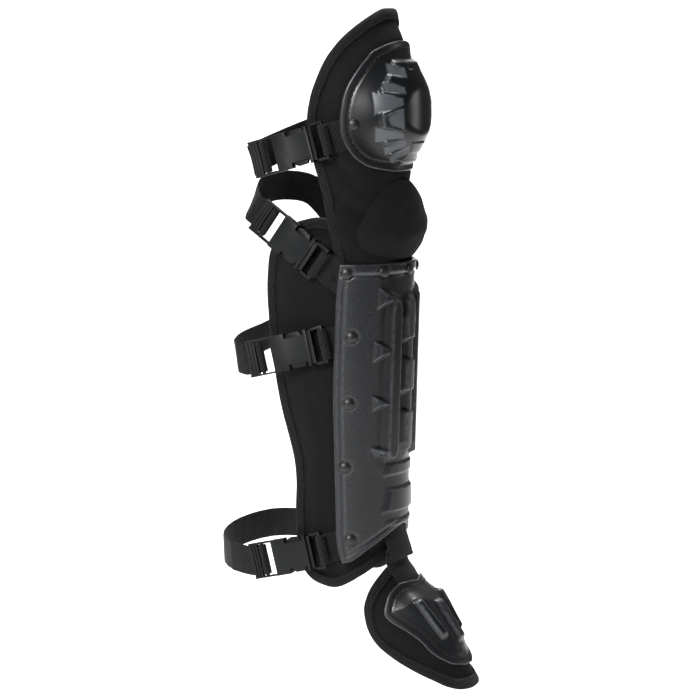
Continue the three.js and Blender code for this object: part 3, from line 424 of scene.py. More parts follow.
KNEE_SIDES = (
    (0, 0.64), (0.07, 0.735), (0.165, 0.78), (0.24, 0.815), (0.29, 0.841), (0.363, 0.885),
    (0.458, 0.952), (0.54, 0.993), (0.623, 1), (0.69, 0.959), (0.755, 0.886), (0.82, 0.795),
    (0.886, 0.646), (0.918, 0.544), (0.95, 0.42), (0.983, 0.253), (1, 0.135),
)
SHIN_SIDES = (
    (0, 0.523), (0.011, 0.62), (0.025, 0.67), (0.056, 0.72), (0.119, 0.75), (0.218, 0.761),
    (0.28, 0.756), (0.335, 0.768), (0.399, 0.81), (0.475, 0.87), (0.596, 0.938), (0.718, 0.983),
    (0.84, 1), (0.91, 0.974), (0.94, 0.928), (0.975, 0.83), (0.99, 0.745), (1, 0.64),
)
SHIN_BOTTOM = (
    (0, 1), (0.17, 0.87), (0.41, 0.61), (0.59, 0.385), (0.77, 0.165), (0.92, 0.02), (1, 0),
)
FOOT_SIDES = (
    (0, 0.1), (0.012, 0.2), (0.068, 0.39), (0.162, 0.54), (0.296, 0.72), (0.403, 0.84),
    (0.5, 0.93), (0.59, 0.993), (0.665, 1), (0.732, 0.974), (0.79, 0.921), (0.846, 0.858),
    (0.89, 0.76), (0.95, 0.55), (1, 0.26),
)
# Where webbing is let into the padding: from one place to another, flat, and how deep.
DENTS = (
    # s, z, s, z, depth
    (-66, 211.5, -52, 215.5, 2.6),
    (-70, 74, -58, 66, 3.4),
    (-76, 16, -60, 20, 2.6),
    (-67, -182.5, -52, -178.7, 2.6),
    (64, 216, 50, 213, 2.8),
    (78, 82, 58, 66, 3.8),
    (78, 14, 58, 14, 2.8),
    (67, -187, 50, -186, 2.8),
)


def pressed(s, z):
    """How deep the padding is pressed in by webbing: each dent is a rounded band 30 wide."""
    depth = np.zeros_like(s)
    for s0, z0, s1, z1, deep in DENTS:
        ds, dz = s1 - s0, z1 - z0
        along = np.clip(((s - s0) * ds + (z - z0) * dz) / (ds * ds + dz * dz), 0, 1)
        away_from = np.abs((s - s0) * dz - (z - z0) * ds) / math.hypot(ds, dz)
        beyond = np.hypot(s - s0 - along * ds, z - z0 - along * dz)
        band = (1 - smooth_step(away_from, 14.8, 17.5)) * (1 - smooth_step(beyond, 15, 19))
        ahead = ((s - s0) * ds + (z - z0) * dz) / math.hypot(ds, dz)
        depth = np.maximum(depth, deep * band * smooth_step(ahead, -9, 0))
    return depth


def folds(s, z, wavelength, seed):
    """Slow unevenness of about 1 either way: eight sine waves in random directions."""
    draw = np.random.default_rng(seed)
    total = np.zeros_like(s)
    for angle, phase, stretch in zip(*draw.uniform((0, 0, 0.7), (6.28, 6.28, 1.5), (8, 3)).T):
        across = s * math.cos(angle) + z * math.sin(angle)
        total += np.sin(across * 6.28 / wavelength * stretch + phase)
    return total / 3


def creased(s, z, lines):
    """Depth of soft creases: each falls off as a bell curve across a line between two places."""
    depth = np.zeros_like(s)
    for s0, z0, s1, z1, deep, width in lines:
        ds, dz = s1 - s0, z1 - z0
        along = np.clip(((s - s0) * ds + (z - z0) * dz) / (ds * ds + dz * dz), 0, 1)
        gap = np.hypot(s - s0 - along * ds, z - z0 - along * dz)
        depth += deep * np.exp(-((gap / width) ** 2)) * np.sin(math.pi * np.clip(along, 0.06, 0.94))
    return depth


def swell(piece, held, pressure, most):
    """Fills a pad as foam does: cloth under pressure for 20 frames with its seams held, each
    point's movement cut off at the most, in mm."""
    mesh = piece.data
    before = np.empty(len(mesh.vertices) * 3)
    mesh.vertices.foreach_get("co", before)
    group = piece.vertex_groups.new(name="held")
    group.add(np.flatnonzero(held).tolist(), 1.0, "REPLACE")
    modifier = piece.modifiers.new("swelling", "CLOTH")
    settings = modifier.settings
    settings.vertex_group_mass = group.name
    settings.use_pressure = True
    settings.uniform_pressure_force = pressure
    settings.effector_weights.gravity = 0
    settings.quality = 4
    settings.tension_stiffness = settings.compression_stiffness = 8
    settings.bending_stiffness = 0.4
    modifier.point_cache.frame_end = 20
    scene = bpy.context.scene
    for step in range(1, 21):
        scene.frame_set(step)
    shown = piece.evaluated_get(bpy.context.evaluated_depsgraph_get())
    after = np.empty_like(before)
    shown.data.vertices.foreach_get("co", after)
    piece.modifiers.remove(modifier)
    piece.vertex_groups.remove(group)
    scene.frame_set(1)
    move = (after - before).reshape(-1, 3)
    length = np.maximum(np.linalg.norm(move, axis=1, keepdims=True), 1e-9)
    move *= np.minimum(1, most * 0.001 / length)
    mesh.vertices.foreach_set("co", (before.reshape(-1, 3) + move).ravel())
    mesh.update()


def pad_depth(inset, full):
    """The outer face of a pad: pinched to 3 at its rim, crowned up between insets 8 and 29."""
    return (PINCHED - full) * (1 - smooth_step(inset, 8, 29))


def knee_thickness(z):
    """4.5 in the tongue under the shin shell, 9 above it."""
    return 4.5 + 4.5 * smooth_step((z - SHELL_TOP) / KNEE_RISE, 0.19, 0.28)


KNEE_BOTTOM, KNEE_LENGTH, KNEE_HALF_WIDTH = 72, 255, 103.8
knee_s, knee_z, knee_inset = outline_grid(
    KNEE_BOTTOM, KNEE_LENGTH, KNEE_SIDES, KNEE_HALF_WIDTH, EDGE, 48, 40
)
knee_full = knee_thickness(knee_z)
knee_face = pad_depth(knee_inset, knee_full) + 0.35 * folds(knee_s, knee_z, 46, 3)
around_roll = np.hypot(knee_s / 58, (knee_z - 128) / 39)
knee_face += 2.6 * np.exp(-(((around_roll - 1.22) / 0.14) ** 2))
knee_face -= creased(
    knee_s,
    knee_z,
    (
        # s, z, s, z, depth, width
        (-72, 146, -42, 133, 7, 3.8),
        (-82, 186, -52, 172, 6, 4),
        (-74, 174, -50, 160, 5, 4),
        (-84, 150, -60, 156, 1.6, 4),
        (66, 142, 40, 133, 3.2, 2.6),
        (80, 182, 54, 171, 2.6, 3.4),
    ),
)
knee_face = np.maximum(knee_face - pressed(knee_s, knee_z), 1.2 - knee_full)
knee_pad = slab_piece("knee_padding", on_leg, knee_s, knee_z, knee_face, -knee_full)
under_shells = (np.abs(knee_s) < 68) & ((knee_z < 96) | (np.abs(knee_z - 236) < 58))
swell(knee_pad, np.tile(((knee_inset < 9) | under_shells).ravel(), 2), 3, 2.5)
finished(knee_pad, cloth, "fabric", "knee_pad")

SHIN_THICK, FOOT_THICK = 10, 8
shin_s, shin_z, shin_inset = outline_grid(
    -226, 358, SHIN_SIDES, 153, EDGE, 58, 56,
    low=lambda side: 32 * eased(side, SHIN_BOTTOM),
    high=lambda side: 10 * (1 - side),
)
shin_uneven = 0.4 * folds(shin_s, shin_z, 60, 5) * smooth_step(shin_inset, 9, 20)
shin_face = pad_depth(shin_inset, SHIN_THICK) + shin_uneven
shin_face -= creased(
    shin_s,
    shin_z,
    (
        (-118, 40, -84, 30, 1.6, 5),
        (-112, -22, -84, -30, 1.3, 4),
        (-96, -150, -78, -158, 1.5, 4),
        (116, 44, 84, 34, 1.6, 5),
        (104, -60, 82, -66, 1.3, 4),
    ),
)
knee_share = np.clip((shin_z - KNEE_BOTTOM) / KNEE_LENGTH, 0, 1)
knee_reach = KNEE_HALF_WIDTH * eased(knee_share, KNEE_SIDES)
covered = smooth_step(knee_reach + 2 - np.abs(shin_s), -2, 2)
covered = covered * smooth_step(shin_z, KNEE_BOTTOM - 4, KNEE_BOTTOM)
shin_face = shin_face * (1 - covered) + np.minimum(shin_face, -5.4) * covered
shin_face = np.maximum(shin_face - pressed(shin_s, shin_z), -8)
shin_pad = slab_piece("shin_padding", on_leg, shin_s, shin_z, shin_face, -SHIN_THICK)
under_shell = (np.abs(shin_s) < 74) | (covered > 0.01)
swell(shin_pad, np.tile(((shin_inset < 9) | under_shell).ravel(), 2), 3, 2.5)
finished(shin_pad, cloth, "fabric", "shin_pad")

foot_s, foot_z, foot_inset = outline_grid(-127, 139, FOOT_SIDES, 77.5, EDGE, 26, 26)
foot_face = pad_depth(foot_inset, FOOT_THICK)
foot_pad = slab_piece("foot_padding", on_foot, foot_s, foot_z, foot_face, -FOOT_THICK)
foot_covered = (np.abs(foot_s) < 48) & (foot_z < -4)
swell(foot_pad, np.tile(((foot_inset < 9) | foot_covered).ravel(), 2), 3, 1.8)
finished(foot_pad, cloth, "fabric", "foot_pad")
for pad in (knee_pad, shin_pad, foot_pad):
    pad.modifiers.new("rounding", "SUBSURF").render_levels = 1
    pad.modifiers["rounding"].levels = 1

# Bindings: black twill tape, 1 thick, folded over the rim of each pad and sewn through near its
# free edges. Where the knee pad runs under the shin shell it has none.


def moulded_grain():
    """Pebble grain: cell distance at the grain's size, broken up by finer noise."""
    tree, given, result = shared_effect(
        "moulded_grain",
        [("Vector", "NodeSocketVector", None), ("Scale", "NodeSocketFloat", 900.0)],
        ["Height", "Shade"],
    )
    source = {"Vector": given.outputs["Vector"], "Scale": given.outputs["Scale"]}
    cells = add(tree, "ShaderNodeTexVoronoi", source, feature="SMOOTH_F1").outputs["Distance"]
    noise = add(tree, "ShaderNodeTexNoise", {**source, "Detail": 2.0}).outputs[0]
    height = calc(tree, "MULTIPLY_ADD", noise, 0.6, cells)
    slow = {"Vector": given.outputs["Vector"], "Scale": 26.0, "Detail": 5.0}
    cloud = add(tree, "ShaderNodeTexNoise", slow).outputs[0]
    tree.links.new(height, result.inputs["Height"])
    tree.links.new(cloud, result.inputs["Shade"])
    return tree


def edge_wear_and_highlight():
    """Where an edge is pale, partly from rubbed wear and partly as a painted highlight: its mark
    from 0 to 1, eaten away by noise.
    """
    tree, given, result = shared_effect(
        "edge_wear_and_highlight",
        [
            ("Vector", "NodeSocketVector", None),
            ("Edge", "NodeSocketFloat", 0.0),
            ("Scale", "NodeSocketFloat", 240.0),
        ],
        ["Mask"],
    )
    source = {"Vector": given.outputs["Vector"], "Scale": given.outputs["Scale"], "Detail": 6.0}
    noise = add(tree, "ShaderNodeTexNoise", source).outputs[0]
    patches = calc(tree, "MULTIPLY_ADD", noise, 1.6, -0.35)
    both = calc(tree, "MULTIPLY", patches, given.outputs["Edge"])
    clamped = add(tree, "ShaderNodeClamp", [both]).outputs[0]
    tree.links.new(clamped, result.inputs["Mask"])
    return tree


GRAIN, WEAR_AND_HIGHLIGHT = moulded_grain(), edge_wear_and_highlight()


def plastic_finish(name, dark, light, roughness, grain, depth, marked=True):
    """Moulded plastic: a grained bump and pale specks on the grain's tops, partly grain tone and
    partly painted glints, that fade where it is polished; a painted highlight that makes plates
    paler; and pale edges, partly rubbed wear and partly painted highlight. marked says that the
    piece carries these marks."""
    material = bpy.data.materials.new(name)
    material.use_nodes = True
    tree = material.node_tree
    shader = tree.nodes["Principled BSDF"]
    place = add(tree, "ShaderNodeTexCoord").outputs["Object"]
    pebbles = add(tree, "ShaderNodeGroup", node_tree=GRAIN)
    pebbles.inputs["Scale"].default_value = grain
    tree.links.new(place, pebbles.inputs["Vector"])
    wear_and_highlight = add(tree, "ShaderNodeGroup", node_tree=WEAR_AND_HIGHLIGHT)
    tree.links.new(place, wear_and_highlight.inputs["Vector"])
    rough = calc(tree, "MULTIPLY_ADD", pebbles.outputs["Shade"], 0.14, roughness - 0.07)
    # Pale specks on the grain's tops: partly the grain's own tone, partly painted glints.
    grain_and_glint_specks = calc(tree, "POWER", pebbles.outputs["Height"], 3.0)
    pale = calc(tree, "MULTIPLY", grain_and_glint_specks, 0.14)
    height = pebbles.outputs["Height"]
    if marked:
        edge = add(tree, "ShaderNodeAttribute", attribute_name="edge").outputs["Fac"]
        polish = add(tree, "ShaderNodeAttribute", attribute_name="polish").outputs["Fac"]
        plate = add(tree, "ShaderNodeAttribute", attribute_name="plate").outputs["Fac"]
        tree.links.new(edge, wear_and_highlight.inputs["Edge"])
        unpolished = calc(tree, "MULTIPLY_ADD", polish, -2.5, 1.0)
        grained = add(tree, "ShaderNodeClamp", [unpolished]).outputs[0]
        pale = calc(tree, "MULTIPLY", pale, grained)
        # Painted highlight: plates, such as the knee cap's teeth, are made paler as if they caught
        # the light.
        pale = calc(tree, "MULTIPLY_ADD", plate, 0.7, pale)
        # Pale edges: partly rubbed wear, partly a painted highlight along crests and rims.
        pale = calc(tree, "MULTIPLY_ADD", wear_and_highlight.outputs["Mask"], 0.8, pale)
        rough = calc(tree, "MULTIPLY_ADD", polish, -0.14, rough)
        height = calc(tree, "MULTIPLY", height, grained)
    tree.links.new(blended(tree, pale, dark, light), shader.inputs["Base Color"])
    tree.links.new(rough, shader.inputs["Roughness"])
    bump = add(tree, "ShaderNodeBump", {"Strength": 0.7, "Distance": depth})
    tree.links.new(height, bump.inputs["Height"])
    tree.links.new(bump.outputs[0], shader.inputs["Normal"])
    return material


def swept_piece(name, rings, lengths, widths, loop=False, **marks):
    """A ring of points carried along a path: quads join ring to ring, and a strip closes each
    end. lengths and widths are the map along the path and round the ring."""
    count, size = rings.shape[:2]
    i, j = np.meshgrid(np.arange(count if loop else count - 1), np.arange(size), indexing="ij")
    i, j = i.ravel(), j.ravel()
    cells = [(i, j), (i, j + 1), (i + 1, j + 1), (i + 1, j)]
    quads = np.stack([(a % count) * size + b % size for a, b in cells], -1)
    uv = np.stack([np.stack([widths[b], lengths[a]], -1) for a, b in cells], 1)
    if not loop:
        k = np.arange(size // 2 - 1)
        strip = np.stack([k, size - 1 - k, size - 2 - k, k + 1], -1)
        ends = np.concatenate([strip, strip[:, ::-1] + (count - 1) * size])
        quads = np.concatenate([quads, ends])
        uv = np.concatenate([uv, np.stack([widths[ends % size], lengths[ends // size]], -1)])
    return closed_piece(name, rings.reshape(-1, 3), quads, uv, **marks)


def softened(path, spread, loop=False):
    """Points along a path, each averaged with its neighbours over a bell curve."""
    reach = int(3 * spread) + 1
    bell = np.exp(-0.5 * (np.arange(-reach, reach + 1) / spread) ** 2)
    bell /= bell.sum()
    if loop:
        padded = np.concatenate([path[-reach:], path, path[:reach]])
    else:
        before = 2 * path[0] - path[reach:0:-1]
        after = 2 * path[-1] - path[-2 : -reach - 2 : -1]
        padded = np.concatenate([before, path, after])
    return np.stack([np.convolve(padded[:, k], bell, "valid") for k in range(path.shape[1])], -1)


def resampled(path, step, *others, loop=False):
    """Points at even steps along a path, with the other arrays read at the same places."""
    if loop:
        path = np.concatenate([path, path[:1]])
        others = [np.concatenate([other, other[:1]]) for other in others]
    run = np.concatenate([[0], np.cumsum(np.linalg.norm(np.diff(path, axis=0), axis=1))])
    count = max(int(round(run[-1] / step)), 4)
    at = np.linspace(0, run[-1], count + 1)
    at = at[:-1] if loop else at

    def read(values):
        """Each column of the values at the even places, by straight interpolation."""
        return np.stack([np.interp(at, run, column) for column in values.T], -1)

    return [read(path), *(read(np.asarray(other, float)) for other in others)]


def seam_line(s, z, inset):
    """The flat path that stays at an inset from a grid's rim, and its outward directions."""
    rim = np.stack([s.ravel(), z.ravel()], -1)[rim_order(*s.shape)]
    (rim,) = resampled(rim, 2.5, loop=True)
    rim = softened(rim, 1.2, loop=True)
    ahead = softened(np.roll(rim, -1, 0) - np.roll(rim, 1, 0), 1.5, loop=True)
    ahead /= np.linalg.norm(ahead, axis=1)[:, None]
    outward = np.stack([ahead[:, 1], -ahead[:, 0]], -1)
    return rim - outward * inset, outward


def unit(vectors):
    """The same directions with length 1."""
    return vectors / np.maximum(np.linalg.norm(vectors, axis=-1, keepdims=True), 1e-9)


def stitched(name, path, out, pitch=4.2, length=3.0, radius=0.42, loop=True):
    """A row of threads on a seam: each one is a short hexagonal rod with tapered ends, centred
    every pitch along the path and laid along it."""
    path, out = resampled(path, pitch, out, loop=loop)
    along = np.roll(path, -1, 0) - np.roll(path, 1, 0)
    if not loop:
        along[0], along[-1] = path[1] - path[0], path[-1] - path[-2]
    along, out = unit(along), unit(out)
    across = np.cross(along, out)
    reach = np.array([-0.5, -0.38, 0.38, 0.5]) * length
    waist = np.array([0.45, 1, 1, 0.45]) * radius
    angle = np.arange(6) / 6 * 2 * math.pi
    ring_reach = np.repeat(reach, 6)
    ring_out = (waist[:, None] * np.sin(angle)).ravel()
    ring_across = (waist[:, None] * np.cos(angle)).ravel() * 1.3
    points = (
        path[:, None]
        + along[:, None] * ring_reach[:, None]
        + out[:, None] * ring_out[:, None]
        + across[:, None] * ring_across[:, None]
    )
    i, j = (value.ravel() for value in np.meshgrid(np.arange(3), np.arange(6), indexing="ij"))
    k = (j + 1) % 6
    rod = np.stack([i * 6 + j, i * 6 + k, (i + 1) * 6 + k, (i + 1) * 6 + j], -1)
    cap = np.array([[0, 5, 4, 1], [1, 4, 3, 2]])
    rod = np.concatenate([rod, cap, cap[:, ::-1] + 18])
    quads = (rod[None] + 24 * np.arange(len(path))[:, None, None]).reshape(-1, 4)
    return closed_piece(name, points.reshape(-1, 3), quads, np.zeros((len(quads), 4, 2)))


tape = cloth_finish(
    "binding_tape", dark=(0.003, 0.003, 0.0034), light=(0.022, 0.022, 0.023),
    across=420, along=520, slant=1.0, depth=0.0006, roughness=0.85, sheen=0.06,
)
thread = plastic_finish(
    "sewing_thread", dark=(0.004, 0.004, 0.004), light=(0.02, 0.02, 0.02),
    roughness=0.8, grain=2000, depth=0.0001, marked=False,
)
# The folded tape seen from its end: out past the rim, and up through the pad's thickness.
TAPE_INSIDE = (
    (-9, 1.85), (-4, 1.85), (-1, 1.8), (0, 1.3), (0.35, 0), (0, -1.3), (-1, -1.8), (-4, -1.85),
    (-9, -1.85),
)
TAPE_OUTSIDE = (
    (-9, -2.7), (-4, -3), (-0.8, -2.8), (0.8, -1.9), (1.35, 0), (0.8, 1.9), (-0.8, 2.8), (-4, 3),
    (-9, 2.7),
)


def bound_edge(name, place, s, z, thickness, node, above=None):
    """Tape carried round a pad's rim: the folded profile lies in the plane of the outward
    direction and the pad's thickness. above leaves out the rim below a height."""
    rim, outward = seam_line(s, z, 0)
    loop = above is None
    if not loop:
        bound = rim[:, 1] > above
        start = np.flatnonzero(bound & ~np.roll(bound, 1))[0]
        rim, outward, bound = (np.roll(value, -start, 0) for value in (rim, outward, bound))
        rim, outward = rim[bound], outward[bound]
    profile = np.array(TAPE_INSIDE + TAPE_OUTSIDE, float)
    middle = PINCHED / 2 - thickness(rim[:, 1])
    rings = place(
        rim[:, None, 0] + outward[:, None, 0] * profile[:, 0],
        rim[:, None, 1] + outward[:, None, 1] * profile[:, 0],
        middle[:, None] + profile[:, 1],
    )
    step = np.linalg.norm(np.diff(rim, axis=0), axis=1)
    lengths = np.concatenate([[0], np.cumsum(step), [step.sum() + 2.5]])
    around = np.linalg.norm(np.diff(profile, axis=0), axis=1)
    widths = np.concatenate([[0], np.cumsum(around), [around.sum() + 1]])
    edge = finished(swept_piece(name, rings, lengths, widths, loop=loop), tape, "binding", node)
    for side, rise in (("outer", 2.95), ("inner", -2.95)):
        line = rim - outward * 7.2
        path = place(line[:, 0], line[:, 1], middle + rise)
        away_from = place(line[:, 0], line[:, 1], middle + rise + math.copysign(1, rise)) - path
        seam = stitched(f"{name}_{side}_seam", path, away_from, 3.6, 2.5, 0.36, loop)
        finished(seam, thread, "binding")


def shin_thickness(z):
    """The shin pad is as thick all over."""
    return np.full_like(z, SHIN_THICK)


def foot_thickness(z):
    """The foot pad is as thick all over."""
    return np.full_like(z, FOOT_THICK)


bound_edge(
    "knee_edge", on_leg, knee_s, knee_z, knee_thickness, "knee_binding", above=91.5
)
bound_edge("shin_edge", on_leg, shin_s, shin_z, shin_thickness, "shin_binding")
bound_edge("foot_edge", on_foot, foot_s, foot_z, foot_thickness, "foot_binding")

# Shin shell: 3 thick black plastic, moulded with a lip along its top, a bead inside its edges,
# a ridge down the middle and one on each side with stepped teeth, and bands across the ankle.
moulded = plastic_finish(
    "moulded_shell", dark=(0.003, 0.0035, 0.0043), light=(0.085, 0.092, 0.102),
    roughness=0.38, grain=900, depth=0.00028,
)
SHELL_LENGTH, SHELL_HALF_WIDTH = 290, 76.2
SHELL_EDGE = (0, 0.7, 1.4, 2.6, 3.8, 5, 6.2, 7.4, 8.6, 10)
SHELL_WIDE = (
    # share of the length down, share of the half width
    (0, 0.953), (0.075, 0.985), (0.131, 0.992), (0.28, 1), (0.45, 0.996), (0.625, 0.963),
    (0.74, 0.944), (0.845, 0.935), (0.93, 0.925), (0.965, 0.9), (1, 0.85),
)
SHELL_BOTTOM = ((0, 1), (0.2, 0.9), (0.35, 0.75), (0.52, 0.55), (0.7, 0.32), (0.85, 0.1), (1, 0))


def facet(s, z, corners, bevels, height):
    """A raised block on a convex outline: its height times the least share of the way in from
    any side, where a side's slope is as wide as its bevel."""
    corners = np.asarray(corners, float)
    ahead = np.roll(corners, -1, 0) - corners
    x, y = corners.T
    area = np.sum(x * np.roll(y, -1) - y * np.roll(x, -1))
    inward = np.stack([-ahead[:, 1], ahead[:, 0]], -1) * math.copysign(1, area)
    inward /= np.linalg.norm(inward, axis=1)[:, None]
    shares = [
        ((s - s0) * ns + (z - z0) * nz) / bevel
        for (s0, z0), (ns, nz), bevel in zip(corners, inward, np.broadcast_to(bevels, len(corners)))
    ]
    return height * np.clip(np.min(shares, axis=0), 0, 1)


SIDE_RIDGE = (
    (-31, 40), (-28, 66), (-14.5, 58), (-12.5, 52), (-12.5, -90), (-16, -100), (-26, -101),
    (-31.5, -88),
)
TEETH = (
    # corners from the outer top one round
    ((-37.4, 69.5), (-22, 60.7), (-22, 53.1), (-38.2, 47)),
    ((-40, 17.4), (-23, 11.5), (-23, 2.7), (-41, -4)),
    ((-40.6, -35.5), (-23, -40.8), (-23, -47.2), (-39.8, -50.7)),
    ((-41.2, -86.5), (-24, -85.7), (-22, -95), (-35.2, -95.5)),
)
SHIN_RIVETS = ((32.5, 82.8), (66.4, 81.9), (60.3, 21), (61.1, -43.2), (63, -105.2), (57.5, -176))
MIDDLE_RIDGE = (
    (
        (-4.6, 61), (4.6, 61), (8.5, 52.3), (9.9, 38), (8.9, 13), (-8.9, 13), (-9.9, 38),
        (-8.5, 52.3),
    ),
    ((-9.6, -0.5), (9.6, -0.5), (10, -34), (7, -38), (-7, -38), (-10, -34)),
    ((-9.6, -51), (9.6, -51), (8.9, -86), (4, -95), (-4, -95), (-8.9, -86)),
    ((-5.4, 58), (5.4, 58), (5.7, -88), (0, -101), (-5.7, -88)),
)
ANKLE_BANDS = (
    # outline, height
    (((-25, -104), (25, -104), (29, -116), (-29, -116)), 1.6),
    (((-24, -128), (24, -128), (29.6, -152), (-29.6, -152)), 2.6),
    (((-24, -159), (24, -159), (27, -166), (-27, -166)), 1.6),
)


def shell_relief(s, z, inset):
    """How far the shin shell's face stands up: the highest of its ridges and teeth, plus bands,
    less the groove beside its bead and the ring round each rivet; the top lip stands 1 proud."""
    near = -np.abs(s)
    ridges = facet(near, z, SIDE_RIDGE, (7, 5, 3, 2.2, 2.2, 3, 5, 7), 6)
    teeth = max_of(facet(near, z, tooth, (3.2, 1, 3.2, 6.5), 4.6) for tooth in TEETH)
    middle = max_of(facet(s, z, part, 4.2, 6) for part in MIDDLE_RIDGE)
    ridges = max_of((ridges, teeth, middle))
    bands = max_of(facet(s, z, band, (1.6, 7, 1.6, 7), height) for band, height in ANKLE_BANDS)
    lip = smooth_step(z, 80.4, 82) - 0.8 * np.exp(-(((z - 79.2) / 1) ** 2))
    bead = 0.9 * np.exp(-(((inset - 6.6) / 1.1) ** 2)) * (1 - smooth_step(z, 70, 76))
    seats = 0.0
    for s0, z0 in ((0, 82.7), *SHIN_RIVETS):
        seats = seats + 0.6 * np.exp(-(((np.hypot(near + s0, z - z0) - 6.2) / 0.7) ** 2))
    return ridges + bands + lip - bead - seats


def max_of(heights):
    """The greatest of several height fields at each point."""
    return np.max(list(heights), axis=0)


def edge_wear_and_highlight_mark(relief, inset, gain):
    """1 on the crests of a relief and on the rim: where the height stands above the average of
    its surroundings, times the gain. It marks pale edges, partly rubbed wear and partly a painted
    highlight."""
    around = sum(np.roll(relief, shift, axis) for shift in (-2, 2) for axis in (0, 1)) / 4
    crest = np.clip((relief - around) * gain, 0, 1)
    crest[:3], crest[-3:], crest[:, :3], crest[:, -3:] = 0, 0, 0, 0
    return np.clip(crest + (1 - smooth_step(inset, 0, 1.6)), 0, 1)


def shin_shell_grid(rows, columns):
    """The shin shell laid flat, its rows stretched down to its curved bottom edge."""
    down = spaced(0, 1, np.array(SHELL_EDGE) / SHELL_LENGTH, rows)[0][::-1]
    reach = SHELL_HALF_WIDTH * eased(down, SHELL_WIDE)
    s = spaced(-reach, reach, SHELL_EDGE, columns)
    depth = SHELL_LENGTH - 34 * eased(np.abs(s) / reach[:, None], SHELL_BOTTOM)
    z = SHELL_TOP - depth * down[:, None]
    return s, z, inset_of(s, z)


shell_s, shell_z, shell_inset = shin_shell_grid(250, 130)
relief = shell_relief(shell_s, shell_z, shell_inset)
rounding = 0.8 * (1 - np.clip(shell_inset / 1.4, 0, 1)) ** 2
front = (1 - smooth_step(np.abs(shell_s), 31, 37)) * smooth_step(shell_z, -108, -100)
shell_polish = np.maximum(np.clip(relief / 9, 0, 0.5), 0.5 * front)
shin_shell = slab_piece(
    "shin_shell_moulding", on_leg, shell_s, shell_z, 3.7 + relief - rounding, 0.7 + relief * 0.98,
    # Crests and rim carry a pale mark: partly rubbed wear, partly a painted highlight.
    edge=edge_wear_and_highlight_mark(relief, shell_inset, 2.4), polish=shell_polish,
)
finished(shin_shell, moulded, "shell", "shin_shell")

# Knee cap: 2.8 thick plastic with a flat sewn flange, a dome inside it and a smooth raised field
# down its middle whose sides step into bevelled teeth.
CAP_SIDES = (
    (0, 0.26), (0.037, 0.584), (0.085, 0.745), (0.176, 0.889), (0.27, 0.974), (0.365, 1),
    (0.49, 0.986), (0.636, 0.915), (0.758, 0.788), (0.862, 0.639), (0.948, 0.452),
    (0.992, 0.182), (1, 0.09),
)
CAP_BOTTOM, CAP_LENGTH, CAP_HALF_WIDTH = 176, 122, 69.3
CAP_TEETH = (
    # corners as s and the height above the cap's bottom, from the outer top one round
    ((-27, 102.5), (-12, 97.5), (-13, 87.5), (-27, 91.5)),
    ((-34, 85.5), (-18, 80), (-18, 72.5), (-34, 76.5)),
    ((-43, 76.5), (-21, 70), (-21, 63), (-42, 53.5)),
    ((-34, 54), (-21, 61.5), (-20, 39.5), (-33, 45)),
    ((-41, 43.5), (-19, 37.5), (-19, 32), (-40, 28)),
    ((-32, 24.5), (-16, 32), (-15, 24), (-30, 15.5)),
    ((-25, 15.5), (-10, 24), (-6, 17), (-24, 7.5)),
)
CAP_FIELD = (
    (-20, 105), (20, 105), (29, 90), (37, 77), (39, 60), (36, 36), (32, 24), (24, 12), (12, 6),
    (-12, 6), (-24, 12), (-32, 24), (-36, 36), (-39, 60), (-37, 77), (-29, 90),
)


def cap_height(s, z):
    """Three heights: the dome; on it a flat field raised 4, with teeth cut into its sides, each
    sloping from the dome up to the field, and two low pads; and a painted highlight, 1 on the
    teeth."""
    middle = 231.5
    half = np.where(z > middle, 66.5, 55.5)
    out = np.hypot(s / CAP_HALF_WIDTH, (z - middle) / half)
    dome = 14 * (1 - smooth_step(out, 0.28, 0.92))
    up, near = z - CAP_BOTTOM, -np.abs(s)
    moulding = facet(s, up, CAP_FIELD, 2.2, 4)
    for tooth in CAP_TEETH:
        inside = facet(near, up, tooth, 0.9, 1)
        outer_side, inner_side = min(tooth)[0], max(tooth)[0]
        slope = np.interp(near, (outer_side, inner_side), (-0.8, 4.6))
        moulding = moulding * (1 - inside) + slope * inside
    # The teeth's mask is a painted highlight: the material makes them paler.
    teeth_painted_highlight = max_of(facet(near, up, tooth, 1.2, 1) for tooth in CAP_TEETH)
    pads = facet(s, up, ((-9, 103), (12, 103), (12, 95), (-10, 95)), 1.2, 1)
    pads += facet(s, up, ((-11, 28), (9, 28), (9, 17), (-7, 17)), 1.2, 1)
    return dome, moulding + pads, teeth_painted_highlight


cap_s, cap_z, cap_inset = outline_grid(
    CAP_BOTTOM, CAP_LENGTH, CAP_SIDES, CAP_HALF_WIDTH, SHELL_EDGE, 140, 150
)
cap_dome, cap_teeth, cap_painted_highlight = cap_height(cap_s, cap_z)
CAP_SEAM = 7
cap_groove = 0.8 * np.exp(-((cap_inset - CAP_SEAM) ** 2))
cap_round = 0.8 * (1 - np.clip(cap_inset / 1.4, 0, 1)) ** 2
cap_field = facet(cap_s, cap_z - CAP_BOTTOM, CAP_FIELD, 3, 1) - cap_painted_highlight
knee_cap = slab_piece(
    "knee_cap_moulding", on_leg, cap_s, cap_z,
    4.7 + cap_dome + cap_teeth - cap_groove - cap_round, 1.9 + cap_dome + cap_teeth * 0.9,
    # The teeth get a painted highlight from their mask.
    edge=edge_wear_and_highlight_mark(cap_teeth, cap_inset, 1.6), plate=cap_painted_highlight,
    polish=0.3 + 0.7 * np.clip(cap_field, 0, 1),
)
finished(knee_cap, moulded, "shell", "knee_cap")
cap_line, _ = seam_line(cap_s, cap_z, CAP_SEAM)
cap_path = on_leg(cap_line[:, 0], cap_line[:, 1], 4.3)
cap_out = on_leg(cap_line[:, 0], cap_line[:, 1], 5.3) - cap_path
finished(stitched("knee_cap_seam", cap_path, cap_out, 5.6, 4.2, 0.7), thread, "shell")

